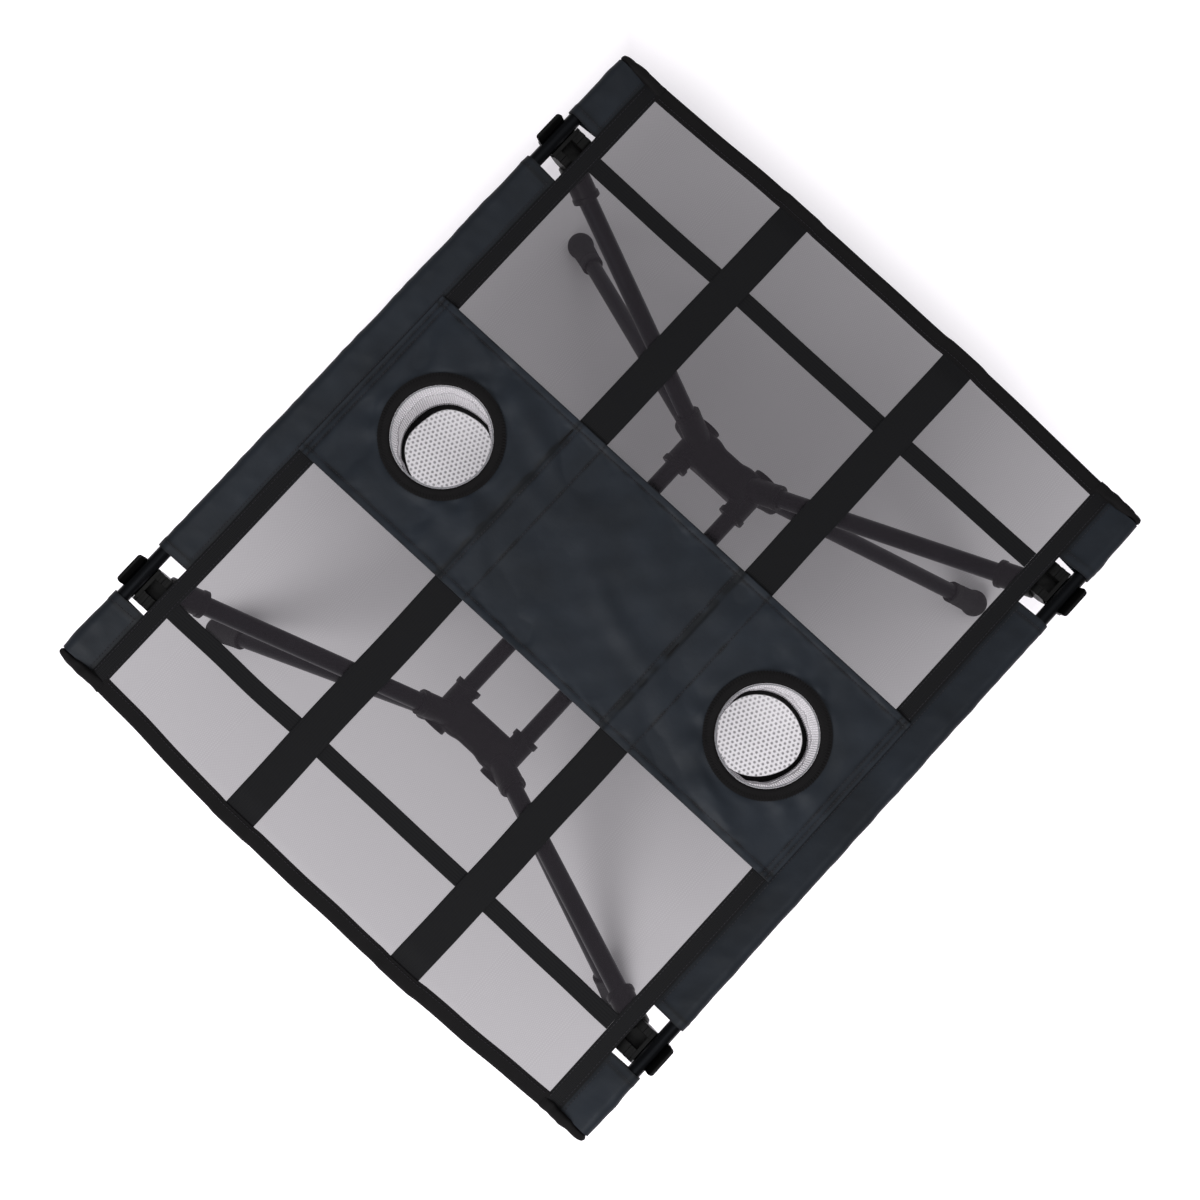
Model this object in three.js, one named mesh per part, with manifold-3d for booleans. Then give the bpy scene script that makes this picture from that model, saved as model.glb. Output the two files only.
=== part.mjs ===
// Camp kitchen table: two hubs, two crossbars, four arms and four legs hold up a sewn fabric top,
// whose two side rods drop into hooks on the arms' ends. The top has mesh panels and two cup holders.
// Millimetres, +Z up. X runs along the table, Y across it, and Z = 0 is the ground under the feet.
// right is +X, left is -X, rear is +Y and front is -Y.
import * as THREE from 'three';
import { mergeVertices } from 'three/addons/utils/BufferGeometryUtils.js';
import Module from 'manifold-3d';

const wasm = await Module();
wasm.setup();

// ---- driving dimensions ----
const TOP_LENGTH = 686;
const TOP_WIDTH = 573;
const TOP_HEIGHT = 381;
const GAP = 0.3; // clearance between pieces that lie against each other

// aluminium poles
const POLE_RADIUS = 8;
const POLE_WALL = 1;
const POLE_SIDES = 16;
const ROD_RADIUS = 6;
const ROD_WALL = 1;
const ROD_SIDES = 12;
const FERRULE_RADIUS = 4.7;
const FERRULE_LENGTH = 60;
const CORD_RADIUS = 1.5;
const CORD_SIDES = 8;

// hubs: where each pole's axis starts, and how the sockets are shaped
const HUB_Z = 210;
const CROSSBAR_Y = 34.5;
const ARM_BASE = new THREE.Vector3(167, 34, 219);
const LEG_BASE = new THREE.Vector3(168, 34, 201);
const SOCKET_MOUTH_X = 134; // mouth of the crossbar socket
const SOCKET_DEPTH = 26;
const SOCKET_RADIUS = 11.5;
const SOCKET_COLLAR = 1.4;
const SOCKET_COLLAR_LENGTH = 6;
const BORE_RADIUS = POLE_RADIUS + 0.5;
const HUB_BAR = { x: 166, width: 27, height: 30, halfLength: 34, corner: 8 };
const HUB_BOSS_X = 184;
const CORD_HOLE_RADIUS = 3;
const POLE_START = 2; // how far along its axis an arm or leg begins

// hooks on the arms' ends
const HOOK_X = 248;
const HOOK_WIDTH = 28;
const HOOK_SHOULDER = 58; // from the shoulder to the side rod, along the arm
const HOOK_BARREL_RADIUS = 11;
const HOOK_BARREL_END = 8;
const HOOK_TUBE_END = 26;
const CRADLE_RADIUS = ROD_RADIUS + 0.4;
const CRADLE_WALL = 3.2;
const CRADLE_LIP = { reach: 12.7, height: 5.5, thickness: 2.4 };
const CRADLE_INNER_DROP = 1; // how far the inner wall stays below the rod's centre

// feet
const FOOT = { x: 267, y: 269, z: 11.5 };
const FOOT_BALL_RADIUS = 13.5;
const FOOT_BARREL_RADIUS = 10.8;
const FOOT_LENGTH = 36;
const FOOT_TUBE_END = 13;

// sewn top, in heights above the side rods' axis
const SLEEVE_WALL = 0.7;
const SLEEVE_RADIUS = ROD_RADIUS + GAP + SLEEVE_WALL;
const ROD_Y = TOP_WIDTH / 2 - SLEEVE_RADIUS;
const ROD_Z = TOP_HEIGHT - SLEEVE_RADIUS;
const SEAM_OUTER_Y = 256;
const SEAM_INNER_Y = 241;
const SEAM_HALF_THICKNESS = 0.8;
const SLEEVE_GAP = { from: 219, to: 269 }; // the notches that bare the side rods for the hooks
const BINDING_WIDTH = 14;
const BINDING_HALF_THICKNESS = 1.5;
const BINDING_INNER_X = TOP_LENGTH / 2 - BINDING_WIDTH;
const CORNER = { length: 9, halfHeight: 6.8 };
const BAND_HALF_WIDTH = 86;
const WIDE_STRAP = { y: 90.5, width: 30 };
const NARROW_STRAP = { x: 250.5, width: 15 };
const LAYERS = {
  mesh: [-0.3, 0.3],
  tape: [1.1, 1.9],
  narrowStrap: [0.6, 1.8],
  wideStrap: [2.1, 3.6],
  band: [3.9, 4.9],
  bandPanel: [3.9, 5.3],
};
const BAND_PANEL = { from: -76.2, to: 104.8 }; // the band's middle panel, which laps over the outer two

// cup holders
const CUP_Y = 178.6;
const CUP_HOLE_RADIUS = 44;
const CUP_RING = { inner: 42, outer: 53, bottom: 5.2, height: 1.8, bevel: 0.7 };
const CUP_POCKET = { topRadius: 43, bottomRadius: 40, top: 4.8, depth: 75, wall: 1 };
const CUP_SIDES = 32;

// ---- materials ----
const material = (color, roughness, metalness) => new THREE.MeshStandardMaterial({ color, roughness, metalness });
const ANODISED = material(0x2c2d30, 0.35, 0.85);
const MOULDED = material(0x3a383a, 0.55, 0);
const RUBBER = material(0x3b3b3c, 0.8, 0);
const NAVY_FABRIC = material(0x2e353f, 0.75, 0);
const BLACK_WEBBING = material(0x252527, 0.85, 0);
const GREY_MESH = material(0x9b979a, 0.8, 0);
const CORD = material(0x161617, 0.9, 0);

const table = new THREE.Group();

// ---- helpers ----
const X_AXIS = new THREE.Vector3(1, 0, 0);
const Y_AXIS = new THREE.Vector3(0, 1, 0);

function addPiece(name, geometry, pieceMaterial) {
  const mesh = new THREE.Mesh(geometry, pieceMaterial);
  mesh.name = name;
  table.add(mesh);
  return mesh;
}

// A closed three.js geometry as a solid, with its shared corners merged and empty triangles dropped.
function toSolid(geometry) {
  const bare = geometry.clone();
  bare.deleteAttribute('normal');
  bare.deleteAttribute('uv');
  const merged = mergeVertices(bare, 1e-4);
  const corners = merged.index.array;
  const kept = [];
  for (let i = 0; i < corners.length; i += 3) {
    const [a, b, c] = [corners[i], corners[i + 1], corners[i + 2]];
    if (a !== b && b !== c && c !== a) kept.push(a, b, c);
  }
  return new wasm.Manifold(
    new wasm.Mesh({
      numProp: 3,
      vertProperties: new Float32Array(merged.attributes.position.array),
      triVerts: new Uint32Array(kept),
    }),
  );
}

function fromSolid(solid) {
  const mesh = solid.getMesh();
  const geometry = new THREE.BufferGeometry();
  geometry.setAttribute('position', new THREE.BufferAttribute(mesh.vertProperties, 3));
  geometry.setIndex(new THREE.BufferAttribute(mesh.triVerts, 1));
  return geometry;
}

// Joins the first list of geometries into one solid and cuts the second list out of it.
function joinAndCut(joined, cuts = []) {
  let solid = toSolid(joined[0]);
  for (const geometry of joined.slice(1)) solid = solid.add(toSolid(geometry));
  for (const geometry of cuts) solid = solid.subtract(toSolid(geometry));
  return fromSolid(solid);
}

// A profile of [radius, height] points turned about an axis that starts at a point and runs along a direction.
function turned(profile, sides, start, direction) {
  const points = profile.map(([radius, height]) => new THREE.Vector2(radius, height));
  const geometry = new THREE.LatheGeometry(points, sides);
  const turn = new THREE.Quaternion().setFromUnitVectors(Y_AXIS, direction.clone().normalize());
  return geometry.applyQuaternion(turn).translate(start.x, start.y, start.z);
}

function cylinder(radius, sides, from, to) {
  const length = from.distanceTo(to);
  const profile = [[0, 0], [radius, 0], [radius, length], [0, length]];
  return turned(profile, sides, from, to.clone().sub(from));
}

function tube(radius, wall, sides, from, to) {
  const length = from.distanceTo(to);
  const inner = radius - wall;
  const profile = [[inner, 0], [radius, 0], [radius, length], [inner, length], [inner, 0]];
  return turned(profile, sides, from, to.clone().sub(from));
}

function box(low, high) {
  const size = high.map((value, i) => value - low[i]);
  const middle = high.map((value, i) => (value + low[i]) / 2);
  return new THREE.BoxGeometry(...size).translate(...middle);
}

// A shape drawn in (Y, Z), pushed out along X between two stations.
function extrudedAlongX(shape, fromX, toX, curveSegments) {
  const geometry = new THREE.ExtrudeGeometry(shape, {
    depth: toX - fromX,
    bevelEnabled: false,
    curveSegments,
  });
  const axes = new THREE.Matrix4().makeBasis(Y_AXIS, new THREE.Vector3(0, 0, 1), X_AXIS);
  return geometry.applyMatrix4(axes).translate(fromX, 0, 0);
}

// A turn of half a circle about Z carries a rear piece to the front and swaps left with right.
function toSide(geometry, side) {
  return side > 0 ? geometry : geometry.rotateZ(Math.PI);
}

const along = (base, direction, distance) => base.clone().addScaledVector(direction, distance);
const atCorner = (point, signX, signY) => new THREE.Vector3(signX * point.x, signY * point.y, point.z);
const endName = (signX) => (signX > 0 ? 'right' : 'left');
const sideName = (signY) => (signY > 0 ? 'rear' : 'front');
const cornerName = (signX, signY) => `${sideName(signY)}_${endName(signX)}`;

// The start, direction and length of one pole's axis at one corner of the table.
function poleAxis(base, tip, signX, signY) {
  const start = atCorner(base, signX, signY);
  const end = atCorner(tip, signX, signY);
  return { start, direction: end.clone().sub(start).normalize(), length: start.distanceTo(end) };
}

const ROD_AT_HOOK = new THREE.Vector3(HOOK_X, ROD_Y, ROD_Z);
const armAxis = (signX, signY) => poleAxis(ARM_BASE, ROD_AT_HOOK, signX, signY);
const legAxis = (signX, signY) => poleAxis(LEG_BASE, FOOT, signX, signY);

// ---- hubs and crossbars ----
function roundedBar() {
  const { x, width, height, halfLength, corner } = HUB_BAR;
  const [w, h] = [width / 2 - corner, height / 2 - corner];
  const section = new THREE.Shape();
  section.absarc(w, h, corner, 0, Math.PI / 2);
  section.absarc(-w, h, corner, Math.PI / 2, Math.PI);
  section.absarc(-w, -h, corner, Math.PI, Math.PI * 1.5);
  section.absarc(w, -h, corner, Math.PI * 1.5, Math.PI * 2);
  const bar = new THREE.ExtrudeGeometry(section, {
    depth: halfLength * 2,
    bevelEnabled: false,
    curveSegments: 3,
  });
  return bar.rotateX(-Math.PI / 2).translate(x, -halfLength, HUB_Z);
}

// A socket barrel with a flange at its mouth, on an axis from start along direction.
function socketBarrel(start, direction, mouth) {
  const flange = SOCKET_RADIUS + SOCKET_COLLAR;
  const flangeStart = mouth - SOCKET_COLLAR_LENGTH;
  const profile = [
    [0, -SOCKET_RADIUS / 2],
    [SOCKET_RADIUS, -SOCKET_RADIUS / 2],
    [SOCKET_RADIUS, flangeStart],
    [flange, flangeStart],
    [flange, mouth],
    [0, mouth],
  ];
  return turned(profile, POLE_SIDES, start, direction);
}

function hub(signX) {
  const bodies = [roundedBar()];
  const cuts = [];
  for (const signY of [1, -1]) {
    const crossStart = new THREE.Vector3(HUB_BAR.x, signY * CROSSBAR_Y, HUB_Z);
    const crossMouth = new THREE.Vector3(SOCKET_MOUTH_X, signY * CROSSBAR_Y, HUB_Z);
    const inward = X_AXIS.clone().negate();
    bodies.push(socketBarrel(crossStart, inward, HUB_BAR.x - SOCKET_MOUTH_X));
    bodies.push(cylinder(SOCKET_RADIUS, POLE_SIDES, crossStart, along(crossStart, X_AXIS, HUB_BOSS_X - HUB_BAR.x)));
    const crossBottom = along(crossMouth, X_AXIS, SOCKET_DEPTH / 2 + GAP);
    cuts.push(cylinder(BORE_RADIUS, POLE_SIDES, along(crossMouth, inward, 1), crossBottom));
    for (const axis of [armAxis(1, signY), legAxis(1, signY)]) {
      bodies.push(socketBarrel(axis.start, axis.direction, POLE_START + SOCKET_DEPTH));
      const bottom = along(axis.start, axis.direction, POLE_START - GAP);
      cuts.push(cylinder(BORE_RADIUS, POLE_SIDES, bottom, along(bottom, axis.direction, SOCKET_DEPTH * 2)));
    }
    cuts.push(cylinder(CORD_HOLE_RADIUS, CORD_SIDES, armAxis(1, signY).start, legAxis(1, signY).start));
  }
  const geometry = toSide(joinAndCut(bodies, cuts), signX);
  addPiece(`hub_${endName(signX)}`, geometry, MOULDED);
}

function crossbar(signY) {
  const reach = SOCKET_MOUTH_X + SOCKET_DEPTH / 2;
  const from = new THREE.Vector3(-reach, signY * CROSSBAR_Y, HUB_Z);
  const to = new THREE.Vector3(reach, signY * CROSSBAR_Y, HUB_Z);
  const name = sideName(signY);
  addPiece(`crossbar_${name}`, tube(POLE_RADIUS, POLE_WALL, POLE_SIDES, from, to), ANODISED);
  addPiece(`crossbar_cord_${name}`, cylinder(CORD_RADIUS, CORD_SIDES, from, to), CORD);
}

// ---- arms and their hooks ----
function arm(signX, signY) {
  const { start, direction, length } = armAxis(signX, signY);
  const from = along(start, direction, POLE_START);
  const to = along(start, direction, length - HOOK_TUBE_END);
  const name = cornerName(signX, signY);
  addPiece(`arm_${name}`, tube(POLE_RADIUS, POLE_WALL, POLE_SIDES, from, to), ANODISED);
  addPiece(`arm_cord_${name}`, cylinder(CORD_RADIUS, CORD_SIDES, from, to), CORD);
}

// The U that the side rod drops into, open upwards, with a finger lip on its outer wall.
function cradle(signY) {
  const { reach, height, thickness } = CRADLE_LIP;
  const outer = CRADLE_RADIUS + CRADLE_WALL;
  const innerWallAngle = Math.PI + Math.asin(CRADLE_INNER_DROP / CRADLE_RADIUS);
  const shape = new THREE.Shape();
  shape.absarc(0, 0, outer, innerWallAngle, Math.PI * 2);
  shape.lineTo(reach, height);
  shape.lineTo(reach - thickness, height);
  shape.lineTo(CRADLE_RADIUS, 0);
  shape.absarc(0, 0, CRADLE_RADIUS, Math.PI * 2, innerWallAngle, true);
  const geometry = extrudedAlongX(shape, -HOOK_WIDTH / 2, HOOK_WIDTH / 2, 8);
  return toSide(geometry, signY);
}

function hook(signX, signY) {
  const { start, direction, length } = armAxis(signX, signY);
  const rod = atCorner(ROD_AT_HOOK, signX, signY);
  const shoulder = along(start, direction, length - HOOK_SHOULDER);
  const barrelEnd = along(start, direction, length - HOOK_BARREL_END);
  const tubeEnd = along(start, direction, length - HOOK_TUBE_END + GAP);
  const bodies = [
    cylinder(HOOK_BARREL_RADIUS, POLE_SIDES, shoulder, barrelEnd),
    cradle(signY).translate(rod.x, rod.y, rod.z),
  ];
  const halfChannel = X_AXIS.clone().multiplyScalar(HOOK_WIDTH);
  const innerTop = rod.z - CRADLE_INNER_DROP;
  const insideY = [signY * SEAM_INNER_Y, rod.y + signY * CRADLE_RADIUS].sort((a, b) => a - b);
  const cuts = [
    cylinder(BORE_RADIUS, POLE_SIDES, along(shoulder, direction, -1), tubeEnd),
    cylinder(CRADLE_RADIUS, POLE_SIDES, rod.clone().sub(halfChannel), rod.clone().add(halfChannel)),
    box([rod.x - HOOK_WIDTH, insideY[0], innerTop], [rod.x + HOOK_WIDTH, insideY[1], TOP_HEIGHT + HOOK_WIDTH]),
  ];
  addPiece(`hook_${cornerName(signX, signY)}`, joinAndCut(bodies, cuts), MOULDED);
}

// ---- legs and feet ----
function leg(signX, signY) {
  const { start, direction, length } = legAxis(signX, signY);
  const from = along(start, direction, POLE_START);
  const to = along(start, direction, length - FOOT_TUBE_END);
  const name = cornerName(signX, signY);
  addPiece(`leg_${name}`, tube(POLE_RADIUS, POLE_WALL, POLE_SIDES, from, to), ANODISED);
  addPiece(`leg_cord_${name}`, cylinder(CORD_RADIUS, CORD_SIDES, from, to), CORD);
}

// A rubber cap with a ball end, bored for the leg and cut flat where it stands on the ground.
function foot(signX, signY) {
  const { start, direction, length } = legAxis(signX, signY);
  const capStart = along(start, direction, length - FOOT_LENGTH);
  const ballPoints = 8;
  const neckAngle = Math.asin(FOOT_BARREL_RADIUS / FOOT_BALL_RADIUS);
  const profile = [[0, 0], [FOOT_BARREL_RADIUS, 0]];
  for (let i = 0; i <= ballPoints; i += 1) {
    const angle = neckAngle + ((Math.PI - neckAngle) * i) / ballPoints;
    const radius = i === ballPoints ? 0 : FOOT_BALL_RADIUS * Math.sin(angle);
    profile.push([radius, FOOT_LENGTH - FOOT_BALL_RADIUS * Math.cos(angle)]);
  }
  const cap = turned(profile, POLE_SIDES, capStart, direction);
  const boreStart = along(capStart, direction, -1);
  const boreEnd = along(start, direction, length - FOOT_TUBE_END + GAP);
  const reach = FOOT_BALL_RADIUS * 2;
  const { x, y } = atCorner(FOOT, signX, signY);
  const ground = box([x - reach, y - reach, -reach], [x + reach, y + reach, 0]);
  const geometry = joinAndCut([cap], [cylinder(BORE_RADIUS, POLE_SIDES, boreStart, boreEnd), ground]);
  addPiece(`foot_${cornerName(signX, signY)}`, geometry, RUBBER);
}

// ---- side rods, in two sections joined by a ferrule ----
function sideRod(signY) {
  const end = BINDING_INNER_X - 2;
  const y = signY * ROD_Y;
  for (const signX of [1, -1]) {
    const from = new THREE.Vector3(signX * GAP, y, ROD_Z);
    const to = new THREE.Vector3(signX * end, y, ROD_Z);
    const name = `side_rod_${cornerName(signX, signY)}`;
    addPiece(name, tube(ROD_RADIUS, ROD_WALL, ROD_SIDES, from, to), ANODISED);
  }
  const low = new THREE.Vector3(-FERRULE_LENGTH / 2, y, ROD_Z);
  const high = new THREE.Vector3(FERRULE_LENGTH / 2, y, ROD_Z);
  addPiece(`rod_ferrule_${sideName(signY)}`, cylinder(FERRULE_RADIUS, ROD_SIDES, low, high), ANODISED);
}

// ---- sewn top ----
// The sleeve's section in (Y, Z) about the rod: a loop of cloth that closes to a flat seam allowance.
function sleeveSection() {
  const seam = SEAM_OUTER_Y - ROD_Y;
  const tangent = Math.acos(SLEEVE_RADIUS / Math.abs(seam));
  const outerAngle = Math.PI - tangent;
  const section = new THREE.Shape();
  section.absarc(0, 0, SLEEVE_RADIUS, -outerAngle, outerAngle);
  section.lineTo(seam, SEAM_HALF_THICKNESS);
  section.lineTo(seam, -SEAM_HALF_THICKNESS);
  section.closePath();
  const hollow = new THREE.Path();
  hollow.absarc(0, 0, SLEEVE_RADIUS - SLEEVE_WALL, outerAngle, -outerAngle, true);
  hollow.lineTo(seam + SEAM_HALF_THICKNESS * 4, 0);
  hollow.closePath();
  section.holes.push(hollow);
  return section;
}

function sideSleeve(signY) {
  const stretches = [
    [-BINDING_INNER_X, -SLEEVE_GAP.to],
    [-SLEEVE_GAP.from, SLEEVE_GAP.from],
    [SLEEVE_GAP.to, BINDING_INNER_X],
  ];
  const loops = stretches.map(([from, to]) =>
    extrudedAlongX(sleeveSection(), from, to, 6).translate(0, ROD_Y, ROD_Z),
  );
  const allowance = box(
    [-BINDING_INNER_X, SEAM_INNER_Y, ROD_Z - SEAM_HALF_THICKNESS],
    [BINDING_INNER_X, SEAM_OUTER_Y + SEAM_HALF_THICKNESS / 4, ROD_Z + SEAM_HALF_THICKNESS],
  );
  addPiece(`side_sleeve_${sideName(signY)}`, toSide(joinAndCut([allowance, ...loops]), signY), NAVY_FABRIC);
}

// A flat rectangle of cloth in one of the top's layers.
function layer(name, [fromX, toX], [fromY, toY], [bottom, top], cloth) {
  addPiece(name, box([fromX, fromY, ROD_Z + bottom], [toX, toY, ROD_Z + top]), cloth);
}

function sideTape(signY) {
  const reach = BINDING_INNER_X - GAP;
  const rows = [signY * SEAM_INNER_Y, signY * SEAM_OUTER_Y].sort((a, b) => a - b);
  layer(`side_tape_${sideName(signY)}`, [-reach, reach], rows, LAYERS.tape, BLACK_WEBBING);
}

function meshPanel(signX) {
  const columns = [signX * GAP, signX * (BINDING_INNER_X - GAP)].sort((a, b) => a - b);
  const reach = SEAM_INNER_Y - GAP;
  const cup = CUP_POCKET.topRadius + GAP * 2;
  const panel = box([columns[0], -reach, ROD_Z + LAYERS.mesh[0]], [columns[1], reach, ROD_Z + LAYERS.mesh[1]]);
  const cuts = [1, -1].map((signY) =>
    cylinder(
      cup,
      CUP_SIDES,
      new THREE.Vector3(0, signY * CUP_Y, ROD_Z - 1),
      new THREE.Vector3(0, signY * CUP_Y, ROD_Z + 1),
    ),
  );
  addPiece(`mesh_panel_${endName(signX)}`, joinAndCut([panel], cuts), GREY_MESH);
}

function wideStrap(signY) {
  const { y, width } = WIDE_STRAP;
  const reach = BINDING_INNER_X - GAP;
  const rows = [signY * y - width / 2, signY * y + width / 2];
  layer(`wide_strap_${sideName(signY)}`, [-reach, reach], rows, LAYERS.wideStrap, BLACK_WEBBING);
}

function narrowStrap(signX) {
  const { x, width } = NARROW_STRAP;
  const reach = SEAM_INNER_Y - GAP;
  const columns = [signX * x - width / 2, signX * x + width / 2];
  layer(`narrow_strap_${endName(signX)}`, columns, [-reach, reach], LAYERS.narrowStrap, BLACK_WEBBING);
}

function endBinding(signX) {
  const columns = [signX * BINDING_INNER_X, (signX * TOP_LENGTH) / 2].sort((a, b) => a - b);
  const reach = SEAM_INNER_Y - GAP;
  const heights = [-BINDING_HALF_THICKNESS, BINDING_HALF_THICKNESS];
  layer(`end_binding_${endName(signX)}`, columns, [-reach, reach], heights, BLACK_WEBBING);
}

// The binding folded over the sleeve's end, which keeps the rod in.
function cornerFold(signX, signY) {
  const near = signX * (BINDING_INNER_X + GAP);
  const far = signX * (BINDING_INNER_X + CORNER.length);
  const columns = [near, far].sort((a, b) => a - b);
  const rows = [signY * SEAM_INNER_Y, (signY * TOP_WIDTH) / 2].sort((a, b) => a - b);
  const heights = [-CORNER.halfHeight, CORNER.halfHeight];
  layer(`corner_fold_${cornerName(signX, signY)}`, columns, rows, heights, BLACK_WEBBING);
}

function centreBand() {
  const reach = SEAM_OUTER_Y;
  const [bottom, top] = LAYERS.band.map((height) => ROD_Z + height);
  const cloth = box([-BAND_HALF_WIDTH, -reach, bottom], [BAND_HALF_WIDTH, reach, top]);
  const holes = [1, -1].map((signY) => {
    const below = new THREE.Vector3(0, signY * CUP_Y, bottom - 1);
    const above = new THREE.Vector3(0, signY * CUP_Y, top + 1);
    return cylinder(CUP_HOLE_RADIUS, CUP_SIDES, below, above);
  });
  const [panelBottom, panelTop] = LAYERS.bandPanel.map((height) => ROD_Z + height);
  const panel = box(
    [-BAND_HALF_WIDTH, BAND_PANEL.from, panelBottom],
    [BAND_HALF_WIDTH, BAND_PANEL.to, panelTop],
  );
  addPiece('centre_band', joinAndCut([cloth, panel], holes), NAVY_FABRIC);
}

// ---- cup holders ----
function cupRing(signY) {
  const { inner, outer, bottom, height, bevel } = CUP_RING;
  const profile = [
    [inner, 0],
    [outer, 0],
    [outer, height - bevel],
    [outer - bevel, height],
    [inner + bevel, height],
    [inner, height - bevel],
    [inner, 0],
  ];
  const centre = new THREE.Vector3(0, signY * CUP_Y, ROD_Z + bottom);
  const geometry = turned(profile, CUP_SIDES, centre, new THREE.Vector3(0, 0, 1));
  addPiece(`cup_ring_${sideName(signY)}`, geometry, BLACK_WEBBING);
}

// A hanging cup of mesh cloth, open at its top.
function cupPocket(signY) {
  const { topRadius, bottomRadius, top, depth, wall } = CUP_POCKET;
  const profile = [
    [0, 0],
    [bottomRadius, 0],
    [topRadius, depth],
    [topRadius - wall, depth],
    [bottomRadius - wall, wall],
    [0, wall],
  ];
  const base = new THREE.Vector3(0, signY * CUP_Y, ROD_Z + top - depth);
  const geometry = turned(profile, CUP_SIDES, base, new THREE.Vector3(0, 0, 1));
  addPiece(`cup_pocket_${sideName(signY)}`, geometry, GREY_MESH);
}

// ---- assembly ----
const SIGNS = [1, -1];
for (const signX of SIGNS) {
  hub(signX);
  meshPanel(signX);
  narrowStrap(signX);
  endBinding(signX);
  for (const signY of SIGNS) {
    arm(signX, signY);
    hook(signX, signY);
    leg(signX, signY);
    foot(signX, signY);
    cornerFold(signX, signY);
  }
}
for (const signY of SIGNS) {
  crossbar(signY);
  sideRod(signY);
  sideSleeve(signY);
  sideTape(signY);
  wideStrap(signY);
  cupRing(signY);
  cupPocket(signY);
}
centreBand();

export default table;
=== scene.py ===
"""Finished look of a camp kitchen table, built round its CAD frame.

The table is a set of dark poles in two moulded hubs, with a sewn top: navy side sleeves and centre band,
black straps, tapes and bindings, fine grey mesh windows and two mesh cup holders.
X runs along the table, Y across it, Z up from the ground, all in metres.
"""

import math
from collections import namedtuple

import bpy
import numpy as np
from bpy.props import FloatProperty, FloatVectorProperty, PointerProperty
from mathutils import Matrix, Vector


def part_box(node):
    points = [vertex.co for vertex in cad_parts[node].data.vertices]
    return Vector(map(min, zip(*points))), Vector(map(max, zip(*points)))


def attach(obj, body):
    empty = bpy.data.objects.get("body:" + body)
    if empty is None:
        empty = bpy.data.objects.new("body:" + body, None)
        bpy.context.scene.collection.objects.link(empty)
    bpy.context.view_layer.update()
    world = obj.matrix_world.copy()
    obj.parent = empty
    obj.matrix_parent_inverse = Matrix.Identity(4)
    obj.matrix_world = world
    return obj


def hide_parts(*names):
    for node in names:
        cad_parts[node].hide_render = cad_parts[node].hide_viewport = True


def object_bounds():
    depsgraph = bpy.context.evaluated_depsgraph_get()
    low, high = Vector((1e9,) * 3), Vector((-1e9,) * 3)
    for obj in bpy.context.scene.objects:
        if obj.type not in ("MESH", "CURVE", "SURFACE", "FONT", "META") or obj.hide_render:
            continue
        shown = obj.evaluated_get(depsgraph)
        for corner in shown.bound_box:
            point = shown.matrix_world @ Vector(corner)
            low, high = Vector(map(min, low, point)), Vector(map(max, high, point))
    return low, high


bl_info = {
    "name": "Camp kitchen table",
    "version": (1, 0, 0),
    "blender": (4, 5, 0),
    "location": "3D View > Sidebar > Camp table",
    "description": "Builds the finished surfaces of a camp kitchen table round its CAD frame",
    "category": "Object",
}

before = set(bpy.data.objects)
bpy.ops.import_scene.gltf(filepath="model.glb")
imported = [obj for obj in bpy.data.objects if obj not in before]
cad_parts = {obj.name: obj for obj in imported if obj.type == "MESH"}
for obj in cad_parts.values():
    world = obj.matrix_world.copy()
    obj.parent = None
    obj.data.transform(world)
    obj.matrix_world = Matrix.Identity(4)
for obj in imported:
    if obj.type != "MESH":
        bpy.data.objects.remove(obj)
CAD_LOW, CAD_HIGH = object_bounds()

# ---- driving dimensions ----
MM = 0.001
SIGN = {"right": 1, "left": -1, "rear": 1, "front": -1}
SIDES = ("rear", "front")
ENDS = ("right", "left")
CORNERS = [(side, end) for side in SIDES for end in ENDS]

# poles, as straight tubes between two points at the rear right corner
POLE_RADIUS = 8 * MM
ROD_RADIUS = 6 * MM
TUBE_WALL = 1 * MM
CORD_RADIUS = 1.5 * MM
POLE_START = 2 * MM
ARM_BASE = np.array([167, 34, 219]) * MM
LEG_BASE = np.array([168, 34, 201]) * MM
FOOT_CENTRE = np.array([267, 269, 11.5]) * MM
ROD_Y = 279.5 * MM
ROD_Z = 374 * MM
HOOK_X = 248 * MM
HOOK_CENTRE = np.array([HOOK_X, ROD_Y, ROD_Z])
HOOK_TUBE_END = 26 * MM
FOOT_TUBE_END = 13 * MM

# hubs
HUB_X = 166 * MM
HUB_Z = 210 * MM
HUB_HALF_LENGTH = 34 * MM
HUB_WIDTH = 27 * MM
HUB_HEIGHT = 30 * MM
HUB_CORNER = 8 * MM
HUB_WEB = 8 * MM
CROSSBAR_Y = 34.5 * MM
CROSSBAR_MOUTH_X = 134 * MM
BOSS_X = 184 * MM
SOCKET_RADIUS = 11.5 * MM
SOCKET_COLLAR = 1.4 * MM
SOCKET_COLLAR_LENGTH = 6 * MM
SOCKET_DEPTH = 26 * MM
BORE_RADIUS = 8.4 * MM

# hooks and feet
HOOK_WIDTH = 28 * MM
HOOK_OUTER_HALF = 17 * MM
HOOK_GAP_HALF = 6.5 * MM
HOOK_SHOULDER = 58 * MM
HOOK_BARREL_RADIUS = 11 * MM
HOOK_BARREL_END = 25 * MM
CRADLE_RADIUS = 6.4 * MM
CRADLE_WALL = 3.2 * MM
FOOT_BALL_RADIUS = 13.5 * MM
FOOT_BARREL_RADIUS = 10.8 * MM
FOOT_LENGTH = 36 * MM

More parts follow.
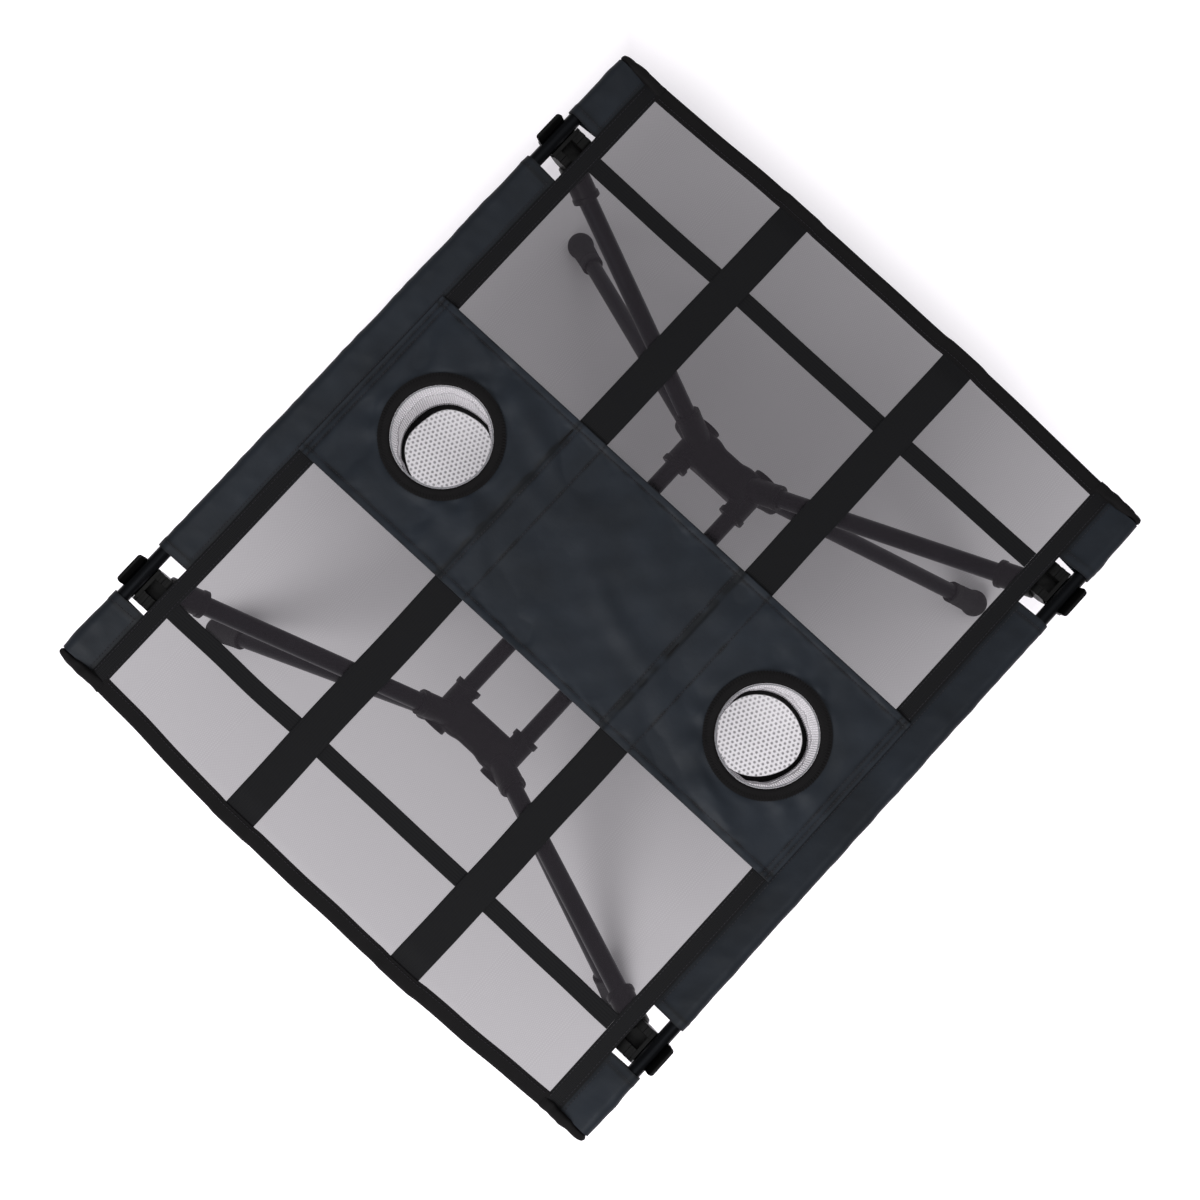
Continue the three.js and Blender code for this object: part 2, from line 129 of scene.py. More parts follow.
# sewn top
TAPE_THICKNESS = 0.8 * MM
HALF_LENGTH = 343 * MM
SLEEVE_RADIUS = 7 * MM
SLEEVE_WALL = 0.7 * MM
SLEEVE_SHADE = 0.12
SEAM_OUTER_Y = 256 * MM
SEAM_INNER_Y = 241 * MM
NOTCH_FROM = 219 * MM
NOTCH_TO = 269 * MM
NOTCH_STITCHES = (NOTCH_FROM - 7 * MM, NOTCH_TO + 7 * MM)
BINDING_INNER_X = 329 * MM
BINDING_WIDTH = 14 * MM
BINDING_HALF_HEIGHT = 2.1 * MM
BAND_HALF_WIDTH = 86 * MM
WIDE_STRAP_Y = 90.5 * MM
STRAP_END_X = 334 * MM
MESH_TUCK = 1.5 * MM
LAP_SEAMS = (104.8 * MM, -76.2 * MM)
LAP_STITCHES = (76.2 * MM, -104.8 * MM)
HEM = 8 * MM
HEM_STITCH_X = BAND_HALF_WIDTH - 6.4 * MM
CUP_Y = 178.6 * MM
CUP_HOLE_RADIUS = 44 * MM
HOLE_SQUARE = 40 * MM
HOLE_BLEND = 30 * MM
RING_INNER = 42 * MM
RING_OUTER = 52.2 * MM
RING_HALF_HEIGHT = 2.0 * MM
POCKET_TOP_RADIUS = 43 * MM
POCKET_BOTTOM_RADIUS = 39.5 * MM
POCKET_DEPTH = 75 * MM

# stage; the covered floor is the part that the top hides from above
FLOOR_HALF = 8.0
FLOOR_DROP = 0.3 * MM
COVERED_FLOOR_MIDDLE = (28 * MM, 17 * MM)
COVERED_FLOOR_HALF = (430 * MM, 359 * MM)
# the floor's glow round the covered part is painted light against the table's shadow
FLOOR_GLOW = 0.42
FLOOR_GLOW_REACH = 0.9
CAMERA_LENS = 55.8
CAMERA_DISTANCE = 1.5
CAMERA_AIM = (-10.7 * MM, -5.7 * MM, 379 * MM)
CAMERA_TURN = math.radians(-47.3)
CAMERA_PITCH = math.radians(4.45)
CAMERA_ROLL = math.radians(-0.86)
KEY_SIZE = 1.6
KEY_PLACE = (-1.9, -0.55, 2.3)
FILL_SIZE = 3.0
FILL_PLACE = (0.4, -0.2, 3.4)
SKY_COLOUR = "#f7f7f8"

UP = np.array([0.0, 0.0, 1.0])
X_AXIS = np.array([1.0, 0.0, 0.0])
Y_AXIS = np.array([0.0, 1.0, 0.0])
UV_NAME = "Laid"
SEAM_SHADE_NAME = "Seam"
SMOOTH = 180


def linear(hex_colour):
    """An sRGB hex colour as linear red, green, blue and an alpha of 1."""
    channels = np.array([int(hex_colour[i : i + 2], 16) for i in (1, 3, 5)]) / 255
    values = np.where(channels <= 0.04045, channels / 12.92, ((channels + 0.055) / 1.055) ** 2.4)
    return (*values.tolist(), 1.0)


# ---- settings that a user would change ----
def colour_setting(name, description, hex_colour):
    return FloatVectorProperty(
        name=name, description=description, subtype="COLOR", size=4, min=0, max=1, default=linear(hex_colour)
    )


def length_setting(name, description, default, highest=0.02):
    return FloatProperty(
        name=name, description=description, default=default, min=0, max=highest, unit="LENGTH", precision=4
    )


def power_setting(name, description, default):
    return FloatProperty(name=name, description=description, default=default, min=0, unit="POWER")


class CampTableColours(bpy.types.PropertyGroup):
    """Colours of the table's finishes."""

    poles: colour_setting("Poles", "Dark anodised aluminium", "#131416")
    plastic: colour_setting("Hubs and hooks", "Moulded nylon", "#050505")
    rubber: colour_setting("Feet", "Moulded rubber", "#151516")
    navy: colour_setting("Navy cloth", "Coated polyester of the band and the sleeves", "#161b22")
    black: colour_setting("Straps", "Black woven webbing", "#0b0b0d")
    binding: colour_setting("Bindings", "Black ribbed edge tape", "#0a090a")
    mesh: colour_setting("Window mesh", "Fine grey mesh cloth", "#272428")
    pocket: colour_setting("Pocket base mesh", "Pale holed mesh under the cups", "#f3f1f4")
    # the pocket side is the same mesh in a darker colour: painted shade
    pocket_side: colour_setting("Pocket side mesh", "Gathered mesh round the cups", "#a8a5a9")
    floor: colour_setting("Floor", "Plain studio floor", "#f9f5fa")


class CampTableSizes(bpy.types.PropertyGroup):
    """Sizes of the soft pieces' shapes."""

    sag: length_setting("Sag", "How far the top hangs down in its middle", 2.5 * MM)
    band_folds: length_setting("Band folds", "Height of the centre band's soft folds", 3.1 * MM)
    sleeve_folds: length_setting("Sleeve folds", "Height of the wrinkles in the side sleeves", 0.8 * MM)
    mesh_ripple: length_setting("Mesh ripple", "Height of the ripples in the mesh windows", 0.6 * MM)
    stitch_pitch: length_setting("Stitch pitch", "Distance from one stitch to the next", 3.2 * MM)
    thread: length_setting("Thread", "Radius of the sewing thread", 0.32 * MM)
    end_bulge: length_setting("End bulge", "How far the left end bows outwards", 3.5 * MM)


class CampTableStage(bpy.types.PropertyGroup):
    """The studio round the table."""

    key: power_setting("Key light", "Power of the large soft light", 93)
    fill: power_setting("Fill light", "Power of the overhead light", 22)
    sky: FloatProperty(
        name="Surroundings", description="Brightness of the pale surroundings", default=0.54, min=0
    )


def colours():
    return bpy.context.scene.camp_table_colours


def sizes():
    return bpy.context.scene.camp_table_sizes


# ---- surfaces ----
Shell = namedtuple("Shell", "points polygons uvs")


def travelled(points, closed):
    """Distance along the longest line of a grid's first axis, from 0 to past the closing step."""
    following = np.concatenate([points, points[:1]]) if closed else points
    steps = np.linalg.norm(np.diff(following, axis=0), axis=2)
    longest = steps[:, steps.sum(0).argmax()]
    return np.concatenate([[0.0], np.cumsum(longest)])


def cap_uv(ring):
    """Flat coordinates of a ring of points in its own plane, measured from its middle."""
    arms = ring - ring.mean(0)
    first = arms[0] / max(np.linalg.norm(arms[0]), 1e-9)
    second = arms[len(arms) // 4] - (arms[len(arms) // 4] @ first) * first
    second /= max(np.linalg.norm(second), 1e-9)
    return np.stack([arms @ first, arms @ second], -1)


def volume_sign(points, polygons):
    """Sign of the volume that the faces enclose: the sum over their triangles of a . (b x c) / 6."""
    total = 0.0
    for faces in polygons:
        first = points[faces[:, 0]]
        for k in range(1, faces.shape[1] - 1):
            total += (first * np.cross(points[faces[:, k]], points[faces[:, k + 1]])).sum()
    return math.copysign(1, total)


def grid(points, close_rows=False, close_columns=False, capped=False, kept=None):
    """A shell on a grid of rows by columns of points.

    Each face joins a point with its neighbours in the next row and column, and a closed direction joins its
    end to its start. Caps are single faces over the first and last rows. Map coordinates are the distances
    travelled across and along the grid. Closed shells are turned to face outwards, open ones to face up.
    """
    rows, columns, _ = points.shape
    row, column = np.meshgrid(
        np.arange(rows if close_rows else rows - 1),
        np.arange(columns if close_columns else columns - 1),
        indexing="ij",
    )
    row, column = row.ravel(), column.ravel()
    if kept is not None:
        chosen = kept[row, column]
        row, column = row[chosen], column[chosen]
    row_of = np.stack([row, row + 1, row + 1, row], -1)
    column_of = np.stack([column, column, column + 1, column + 1], -1)
    along = travelled(points, close_rows)
    across = travelled(points.transpose(1, 0, 2), close_columns)
    polygons = [(row_of % rows) * columns + column_of % columns]
    uvs = [np.stack([across[column_of], along[row_of]], -1)]
    flat = points.reshape(-1, 3)
    if capped:
        first = np.arange(columns)[None, ::-1]
        last = np.arange(columns)[None] + (rows - 1) * columns
        polygons += [first, last]
        uvs += [cap_uv(points[0])[None, ::-1], cap_uv(points[-1])[None]]
    if capped or (close_rows and close_columns):
        turned_in = volume_sign(flat - flat.mean(0), polygons) < 0
    else:
        quads = polygons[0]
        facing = np.cross(flat[quads[:, 2]] - flat[quads[:, 0]], flat[quads[:, 3]] - flat[quads[:, 1]])
        turned_in = facing[:, 2].sum() < 0
    if turned_in:
        polygons = [faces[:, ::-1] for faces in polygons]
        uvs = [uv[:, ::-1] for uv in uvs]
    return Shell(flat, polygons, uvs)


def piece(name, shells, maker, body, replaces=(), sharp=38, seam=None):
    """Joins shells into one object with its maker's finish, and lets it ride on a body of the frame.

    seam(x, y) is how much painted shade darkens the cloth at a point, along its seams, from 0 to 1. Edges
    sharper than so many degrees are drawn as edges.
    """
    starts = np.cumsum([0] + [len(shell.points) for shell in shells])
    points = np.concatenate([shell.points for shell in shells])
    polygons = [faces + start for shell, start in zip(shells, starts) for faces in shell.polygons]
    uvs = np.concatenate([uv.reshape(-1, 2) for shell in shells for uv in shell.uvs])
    used, packed = np.unique(np.concatenate([faces.ravel() for faces in polygons]), return_inverse=True)
    sizes_of = np.concatenate([np.full(len(faces), faces.shape[1]) for faces in polygons])
    mesh = bpy.data.meshes.new(name)
    mesh.vertices.add(len(used))
    mesh.vertices.foreach_set("co", points[used].astype(np.float32).ravel())
    mesh.loops.add(len(packed))
    mesh.loops.foreach_set("vertex_index", packed.astype(np.int32).ravel())
    mesh.polygons.add(len(sizes_of))
    mesh.polygons.foreach_set("loop_start", (np.cumsum(sizes_of) - sizes_of).astype(np.int32))
    mesh.update(calc_edges=True)
    mesh.uv_layers.new(name=UV_NAME).data.foreach_set("uv", uvs.astype(np.float32).ravel())
    mesh.polygons.foreach_set("use_smooth", np.ones(len(sizes_of), bool))
    if seam is not None:
        # painted shade along the seams, kept on the points for the cloth's material
        shade = seam(points[used, 0], points[used, 1])
        mesh.attributes.new(SEAM_SHADE_NAME, "FLOAT", "POINT").data.foreach_set("value", shade.astype(np.float32))
    mesh.set_sharp_from_angle(angle=math.radians(sharp))
    mesh.materials.append(finish(maker))
    if mesh.validate():
        raise RuntimeError(f"{name} has broken faces")
    made = bpy.data.objects.new(name, mesh)
    bpy.context.scene.collection.objects.link(made)
    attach(made, body)
    if replaces:
        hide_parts(*replaces)
    return made


def rounded(made, width, segments=2):
    """Rounds a piece's sharp edges."""
    bevel = made.modifiers.new("Rounded edges", "BEVEL")
    bevel.width = width
    bevel.segments = segments
    bevel.limit_method = "ANGLE"
    bevel.angle_limit = math.radians(40)
    return made


def eased(corners, radius, closed=False, steps=4):
    """Rounds a line's corners: each becomes a short parabola that starts and ends a radius away from it."""
    corners = np.asarray(corners, float)
    before = np.roll(corners, 1, axis=0) - corners
    after = np.roll(corners, -1, axis=0) - corners
    before_length = np.linalg.norm(before, axis=1, keepdims=True)
    after_length = np.linalg.norm(after, axis=1, keepdims=True)
    start = corners + before / before_length * np.minimum(radius, 0.45 * before_length)
    end = corners + after / after_length * np.minimum(radius, 0.45 * after_length)
    t = np.linspace(0, 1, steps)[None, :, None]
    curves = (1 - t) ** 2 * start[:, None] + 2 * t * (1 - t) * corners[:, None] + t**2 * end[:, None]
    if closed:
        return curves.reshape(-1, 2)
    return np.concatenate([corners[:1], curves[1:-1].reshape(-1, 2), corners[-1:]])


def full_turn(count):
    """Angles evenly round a circle, without the closing one."""
    return np.linspace(0, 2 * math.pi, count, endpoint=False)


def on_circle(angle):
    return np.stack([np.cos(angle), np.sin(angle)], -1)


def turned(profile, start, direction, sides=48):
    """A profile of (radius, distance) points turned about an axis.

    A point goes to start + distance * direction + radius * (cos of the angle sideways + sin of it upwards).
    """
    direction = direction / np.linalg.norm(direction)
    sideways = np.cross(direction, UP if abs(direction[2]) < 0.9 else X_AXIS)
    sideways /= np.linalg.norm(sideways)
    upwards = np.cross(sideways, direction)
    angle = full_turn(sides)
    spoke = np.cos(angle)[:, None] * sideways + np.sin(angle)[:, None] * upwards
    profile = np.asarray(profile, float)
    return start + profile[:, None, 1, None] * direction + profile[:, None, 0, None] * spoke


def carried(section, path, across, upwards=UP):
    """A section carried along a path: its point (a, b) goes to path + a * across + b * upwards."""
    return path[:, None] + section[None, :, 0, None] * across + section[None, :, 1, None] * upwards


def straight_tube(start, end, radius, wall, sides=48):
    """A hollow tube between two points, its outer and inner faces joined by a rim at each end."""
    length = np.linalg.norm(end - start)
    edge = 0.2 * MM
    outside = [(radius - edge, 0), (radius, edge), (radius, length - edge), (radius - edge, length)]
    inside = [(radius - wall, length), (radius - wall, 0)]
    return grid(turned(outside + inside, start, end - start, sides), close_rows=True, close_columns=True)


def smooth_step(values, low, high):
    """Rises from 0 at low to 1 at high as 3t^2 - 2t^3."""
    t = np.clip((values - low) / (high - low), 0, 1)
    return t * t * (3 - 2 * t)


def ripples(x, y, wavelength, seed, waves=10):
    """Soft folds between -1 and 1: the mean of sine waves whose directions, lengths and phases are seeded."""
    rng = np.random.default_rng(seed)
    angle = rng.uniform(0, math.pi, waves)
    length = wavelength * rng.uniform(0.7, 1.6, waves)
    phase = rng.uniform(0, 2 * math.pi, waves)
    reach = np.multiply.outer(x, np.cos(angle)) + np.multiply.outer(y, np.sin(angle))
    return np.sin(reach * 2 * math.pi / length + phase).sum(-1) / math.sqrt(waves) / 1.4


def creases(x, y, seed, count, half_width, half_length, width):
    """Short raised folds, each a bell curve across a seeded line that fades towards the line's ends."""
    rng = np.random.default_rng(seed)
    middle = rng.uniform(-1, 1, (count, 2)) * (half_width, half_length)
    angle = rng.normal(0.9, 0.7, count)
    reach = rng.uniform(18, 55, count) * MM
    height = rng.uniform(-1, 1, count)
    dx = np.subtract.outer(x, middle[:, 0])
    dy = np.subtract.outer(y, middle[:, 1])
    along = dx * np.cos(angle) + dy * np.sin(angle)
    across = dy * np.cos(angle) - dx * np.sin(angle) + 4 * MM * (along / reach) ** 2
    return (height * np.exp(-((across / width) ** 2) - (along / reach) ** 2)).sum(-1)


def settle(x, y):
    """How far the whole sewn top hangs down: most in the middle of its width, and more towards its ends."""
    across = np.clip(1 - (y / SEAM_INNER_Y) ** 2, 0, 1)
    return -sizes().sag * across * (0.55 + 0.45 * (x / HALF_LENGTH) ** 2)


def laid(points):
    """Lets a flat layer of the top follow the sag that all its layers share."""
    points = points.copy()
    points[..., 2] += settle(points[..., 0], points[..., 1])
    return points


# ---- materials ----
def add_node(tree, kind, settings=None, inputs=None):
    """Adds a node, makes its settings, and gives each input a value or a link from another node's socket."""
    node = tree.nodes.new(kind)
    for name, value in (settings or {}).items():
        setattr(node, name, value)
    for key, value in (inputs or {}).items():
        if isinstance(value, bpy.types.NodeSocket):
            tree.links.new(value, node.inputs[key])
        else:
            node.inputs[key].default_value = value
    return node


def start_material(name, colour, roughness, **shader_settings):
    """A new material with one Principled shader. Underscores in a setting's name stand for spaces."""
    material = bpy.data.materials.new(name)
    material.use_nodes = True
    tree = material.node_tree
    tree.nodes.clear()
    values = {"Base Color": tuple(colour), "Roughness": roughness}
    values.update({key.replace("_", " "): value for key, value in shader_settings.items()})
    shader = add_node(tree, "ShaderNodeBsdfPrincipled", inputs=values)
    add_node(tree, "ShaderNodeOutputMaterial", inputs={"Surface": shader.outputs["BSDF"]})
    return material, tree, shader


def in_place(tree):
    """Coordinates of the piece itself, in metres."""
    return add_node(tree, "ShaderNodeTexCoord").outputs["Object"]


def on_cloth(tree):
    """Coordinates laid on the surface: metres across it and along it."""
    return add_node(tree, "ShaderNodeUVMap", {"uv_map": UV_NAME}).outputs["UV"]


def noise(tree, vector, grain, detail=3.0):
    """Noise whose patches are about one grain wide, in metres."""
    inputs = {"Vector": vector, "Scale": 1 / grain, "Detail": detail, "Roughness": 0.55}
    return add_node(tree, "ShaderNodeTexNoise", inputs=inputs).outputs["Fac"]


def ribs(tree, vector, direction, spacing):
    """Waves from 0 to 1 across a surface, one for each spacing in metres."""
    settings = {"wave_type": "BANDS", "bands_direction": direction, "wave_profile": "SIN"}
    inputs = {"Vector": vector, "Scale": 2 * math.pi / 20 / spacing}
    return add_node(tree, "ShaderNodeTexWave", settings, inputs).outputs["Fac"]


def maths(tree, operation, first, second=0.0):
    return add_node(tree, "ShaderNodeMath", {"operation": operation}, {0: first, 1: second}).outputs[0]


def ranged(tree, value, low, high, to_low, to_high):
    inputs = {"Value": value, "From Min": low, "From Max": high, "To Min": to_low, "To Max": to_high}
    return add_node(tree, "ShaderNodeMapRange", {"clamp": True}, inputs).outputs["Result"]


def shaded(tree, shader, factor, colour, darker, lighter):
    """Varies the base colour between a darker and a lighter share of itself."""
    ends = [tuple(channel * share for channel in tuple(colour)[:3]) + (1.0,) for share in (darker, lighter)]
    mix = add_node(tree, "ShaderNodeMix", {"data_type": "RGBA"}, {0: factor, 6: ends[0], 7: ends[1]})
    tree.links.new(mix.outputs[2], shader.inputs["Base Color"])


def embossed(tree, shader, height, distance, strength=1.0):
    """Raises the surface's shading by a height from 0 to 1 times a distance in metres."""
    inputs = {"Height": height, "Distance": distance, "Strength": strength}
    bump = add_node(tree, "ShaderNodeBump", inputs=inputs)
    tree.links.new(bump.outputs["Normal"], shader.inputs["Normal"])


def anodised_aluminium():
    # Drawn tube with a dark satin anodised skin: a soft metal sheen with faint streaks along the tube.
    base = colours().poles
    material, tree, shader = start_material("dark_anodised_aluminium", base, 0.36, Metallic=1.0)
    drawn_out = {"Vector": on_cloth(tree), "Scale": (1.0, 0.04, 1.0)}
    stretch = add_node(tree, "ShaderNodeMapping", inputs=drawn_out)
    streaks = noise(tree, stretch.outputs["Vector"], 1.2 * MM)
    shaded(tree, shader, streaks, base, 0.8, 1.3)
    tree.links.new(ranged(tree, streaks, 0.3, 0.7, 0.3, 0.44), shader.inputs["Roughness"])
    embossed(tree, shader, streaks, 0.02 * MM, 0.4)
    return material


def moulded_nylon():
    # Injection-moulded glass-filled nylon: near black, with a fine spark-eroded grain and rubbed patches.
    base = colours().plastic
    material, tree, shader = start_material("moulded_black_nylon", base, 0.4, Specular_IOR_Level=0.1)
    place = in_place(tree)
    shaded(tree, shader, noise(tree, place, 9 * MM), base, 0.75, 1.5)
    tree.links.new(ranged(tree, noise(tree, place, 5 * MM), 0.3, 0.7, 0.3, 0.5), shader.inputs["Roughness"])
    # the real grain is about 0.2 mm and is drawn at 0.9 mm so that it shows
    embossed(tree, shader, noise(tree, place, 0.9 * MM, 2.0), 0.06 * MM, 0.6)
    return material


def moulded_rubber():
    # Moulded rubber: matt charcoal with a slight bloom and a little grain.
    base = colours().rubber
    material, tree, shader = start_material("moulded_black_rubber", base, 0.78, Specular_IOR_Level=0.3)
    place = in_place(tree)
    shaded(tree, shader, noise(tree, place, 6 * MM), base, 0.8, 1.6)
    embossed(tree, shader, noise(tree, place, 0.8 * MM, 2.0), 0.08 * MM, 0.7)
    return material


def navy_polyester():
    # Plain-woven polyester with a water-repellent coat: deep navy, a low sheen and a regular fine weave.
    # Along the seams the cloth is pulled in, and painted shade darkens it there; the sleeves also get a
    # little painted shade all over.
    base = colours().navy
    material, tree, shader = start_material(
        "coated_navy_polyester", base, 0.58, Specular_IOR_Level=0.16, Sheen_Weight=0.02
    )
    place = in_place(tree)
    # the real threads are about 0.35 mm apart and are drawn 1.1 mm apart so that they show
    weave = maths(tree, "MULTIPLY", ribs(tree, place, "X", 1.1 * MM), ribs(tree, place, "Y", 1.1 * MM))
    # painted shade from the seam shade attribute, subtracted from the random tone patches
    seam = add_node(tree, "ShaderNodeAttribute", {"attribute_name": SEAM_SHADE_NAME}).outputs["Fac"]
    patches = maths(tree, "SUBTRACT", noise(tree, place, 60 * MM, 4.0), seam)
    shaded(tree, shader, patches, base, 0.3, 1.45)
    crumple = noise(tree, place, 22 * MM, 4.0)
    height = maths(tree, "ADD", maths(tree, "MULTIPLY", weave, 0.06), crumple)
    embossed(tree, shader, height, 1.3 * MM, 0.5)
    return material


def woven_webbing():
    # Flat woven webbing: matt black, with ribs across it and slightly raised selvedges.
    base = colours().black
    material, tree, shader = start_material("woven_black_webbing", base, 0.75, Specular_IOR_Level=0.12)
    cloth = on_cloth(tree)
    # the real weft is about 0.8 mm apart and is drawn 1.4 mm apart so that it shows
    weft = ribs(tree, cloth, "Y", 1.4 * MM)
    warp = ribs(tree, cloth, "X", 2.4 * MM)
    weave = maths(tree, "MULTIPLY", weft, warp)
    shaded(tree, shader, maths(tree, "ADD", maths(tree, "MULTIPLY", weave, 0.5), 0.25), base, 0.7, 1.5)
    embossed(tree, shader, weave, 0.25 * MM, 0.8)
    return material


def ribbed_binding():
    # Grosgrain edge tape: warm black, with close ribs across it and a dull face.
    base = colours().binding
    material, tree, shader = start_material("ribbed_black_binding", base, 0.8, Specular_IOR_Level=0.12)
    cloth = on_cloth(tree)
    # the real ribs are about 0.7 mm apart and are drawn 1.3 mm apart so that they show
    rib = ribs(tree, cloth, "Y", 1.3 * MM)
    shaded(tree, shader, noise(tree, in_place(tree), 14 * MM), base, 0.7, 1.5)
    embossed(tree, shader, rib, 0.22 * MM, 0.8)
    return material


def sewing_thread():
    # Bonded polyester thread: black with a soft shine and a slight twist.
    base = linear("#17151a")
    material, tree, shader = start_material("black_sewing_thread", base, 0.55, Specular_IOR_Level=0.2)
    shaded(tree, shader, noise(tree, in_place(tree), 1.5 * MM), base, 0.6, 1.5)
    return material


def braided_cord():
    # Shock cord: rubber strands in a tight black polyester braid of crossing ribs.
    base = linear("#151517")
    material, tree, shader = start_material("braided_shock_cord", base, 0.8, IOR=1.5)
    cloth = on_cloth(tree)
    turn = add_node(tree, "ShaderNodeMapping", inputs={"Vector": cloth, "Rotation": (0, 0, math.radians(45))})
    crossing = turn.outputs["Vector"]
    braid = maths(tree, "MULTIPLY", ribs(tree, crossing, "X", 1 * MM), ribs(tree, crossing, "Y", 1 * MM))
    shaded(tree, shader, braid, base, 0.7, 2.2)
    embossed(tree, shader, braid, 0.15 * MM, 0.8)
    return material


def openings(tree, vector, spacing):
    """A value that peaks in the middle of each opening of a hexagonal mesh.

    It is the sum of three cosine waves at 60 degrees to each other, from -1.5 on the threads to 3.
    """
    number = 4 * math.pi / math.sqrt(3) / spacing
    total = None
    for turn in (0, 60, 120):
        wave = (number * math.cos(math.radians(turn)), number * math.sin(math.radians(turn)), 0)
        reach = add_node(tree, "ShaderNodeVectorMath", {"operation": "DOT_PRODUCT"}, {0: vector, 1: wave})
        height = maths(tree, "COSINE", reach.outputs["Value"])
        total = height if total is None else maths(tree, "ADD", total, height)
    return total


def open_mesh(name, base, spacing, thread_level, open_level, least, most, roughness):
    """A knitted mesh whose threads cover most of the surface at thread_level and least at open_level."""
    material, tree, shader = start_material(name, base, roughness, Specular_IOR_Level=0.06)
    cloth = on_cloth(tree)
    mesh = openings(tree, cloth, spacing)
    cover = ranged(tree, mesh, thread_level, open_level, most, least)
    tree.links.new(cover, shader.inputs["Alpha"])
    shaded(tree, shader, noise(tree, in_place(tree), 40 * MM), base, 0.9, 1.12)
    embossed(tree, shader, ranged(tree, mesh, thread_level, open_level, 1, 0), 0.1 * MM, 0.25)
    return material


def window_mesh():
    # Fine knitted polyester mesh: reads as an even grey film that dims what lies behind it.
    # the real openings are about 1 mm apart and are drawn 1.7 mm apart so that they show
    return open_mesh("fine_grey_mesh", colours().mesh, 1.7 * MM, -1.0, 2.0, 0.6, 0.645, 0.85)


def pocket_mesh():
    # Warp-knitted mesh: pale thin cloth that lets light through, drawn half clear, with painted shade on the
    # rims of small round holes, which are drawn darker and less clear than the cloth.
    base = colours().pocket
    material, tree, shader = start_material("holed_pocket_mesh", base, 0.6, Specular_IOR_Level=0.06)
    # the real holes are about 2 mm apart and are drawn 4.2 mm apart so that they show
    holes = openings(tree, on_cloth(tree), 4.2 * MM)
    # painted shade: the holes are drawn as darker dots that are less clear than the cloth
    tree.links.new(ranged(tree, holes, 0.6, 1.3, 0.25, 0.85), shader.inputs["Alpha"])
    shaded(tree, shader, ranged(tree, holes, 0.6, 1.3, 1.0, 0.0), base, 0.45, 1.0)
    return material


def pocket_side_mesh():
    # The same mesh where it is gathered into the pocket's side, so that its threads lie closer together.
    # Its colour is a darker copy of the base's: painted shade on the side.
    return open_mesh("gathered_pocket_mesh", colours().pocket_side, 2.4 * MM, -0.5, 0.2, 0.12, 1.0, 0.6)


def painted_highlight_piping():
    # Thin folded edge of the ring: nylon tape with a soft shine, coloured pale grey as a painted highlight
    # where it catches the light.
    base = linear("#6e6e72")
    material, tree, shader = start_material("painted_highlight_edge", base, 0.5, IOR=1.5)
    shaded(tree, shader, noise(tree, in_place(tree), 5 * MM), base, 0.5, 1.4)
    return material


def studio_floor():
    # Smooth matt painted floor: almost white, with no visible pattern beyond a faint unevenness.
    # Round the covered part it glows from within, painted light that lifts the table's soft shadow so that
    # the floor stays white there; the glow fades out further away.
    base = colours().floor
    material, tree, shader = start_material("matt_white_floor", base, 0.75)
    place = in_place(tree)
    shaded(tree, shader, noise(tree, place, 0.4), base, 0.985, 1.0)
    parts = add_node(tree, "ShaderNodeSeparateXYZ", inputs={"Vector": place}).outputs
    beyond = []
    for part, middle, half in zip(parts, COVERED_FLOOR_MIDDLE, COVERED_FLOOR_HALF):
        from_middle = maths(tree, "ABSOLUTE", maths(tree, "SUBTRACT", part, middle))
        beyond.append(maths(tree, "SUBTRACT", from_middle, half))
    outside = maths(tree, "MAXIMUM", *beyond)
    # painted light: the floor glows just outside the covered part and fades further out
    rise = ranged(tree, outside, -25 * MM, 35 * MM, 0.0, FLOOR_GLOW)
    fall = ranged(tree, outside, 35 * MM, FLOOR_GLOW_REACH, 1.0, 0.0)
    tree.links.new(maths(tree, "MULTIPLY", rise, fall), shader.inputs["Emission Strength"])
    return material


made_finishes = {}


def finish(maker):
    """The material of one finish, made the first time that it is asked for."""
    if maker.__name__ not in made_finishes:
        made_finishes[maker.__name__] = maker()
    return made_finishes[maker.__name__]


# ---- shapes of the table's own pieces ----
def at_corner(point, side, end):
    return point * np.array([SIGN[end], SIGN[side], 1])


def arm_axis(side, end):
    """Start, direction and length of an arm's axis, from the hub to the side rod."""
    start = at_corner(ARM_BASE, side, end)
    reach = at_corner(HOOK_CENTRE, side, end) - start
    return start, reach / np.linalg.norm(reach), np.linalg.norm(reach)


def leg_axis(side, end):
    """Start, direction and length of a leg's axis, from the hub to the middle of the foot's ball."""
    start = at_corner(LEG_BASE, side, end)
    reach = at_corner(FOOT_CENTRE, side, end) - start
    return start, reach / np.linalg.norm(reach), np.linalg.norm(reach)


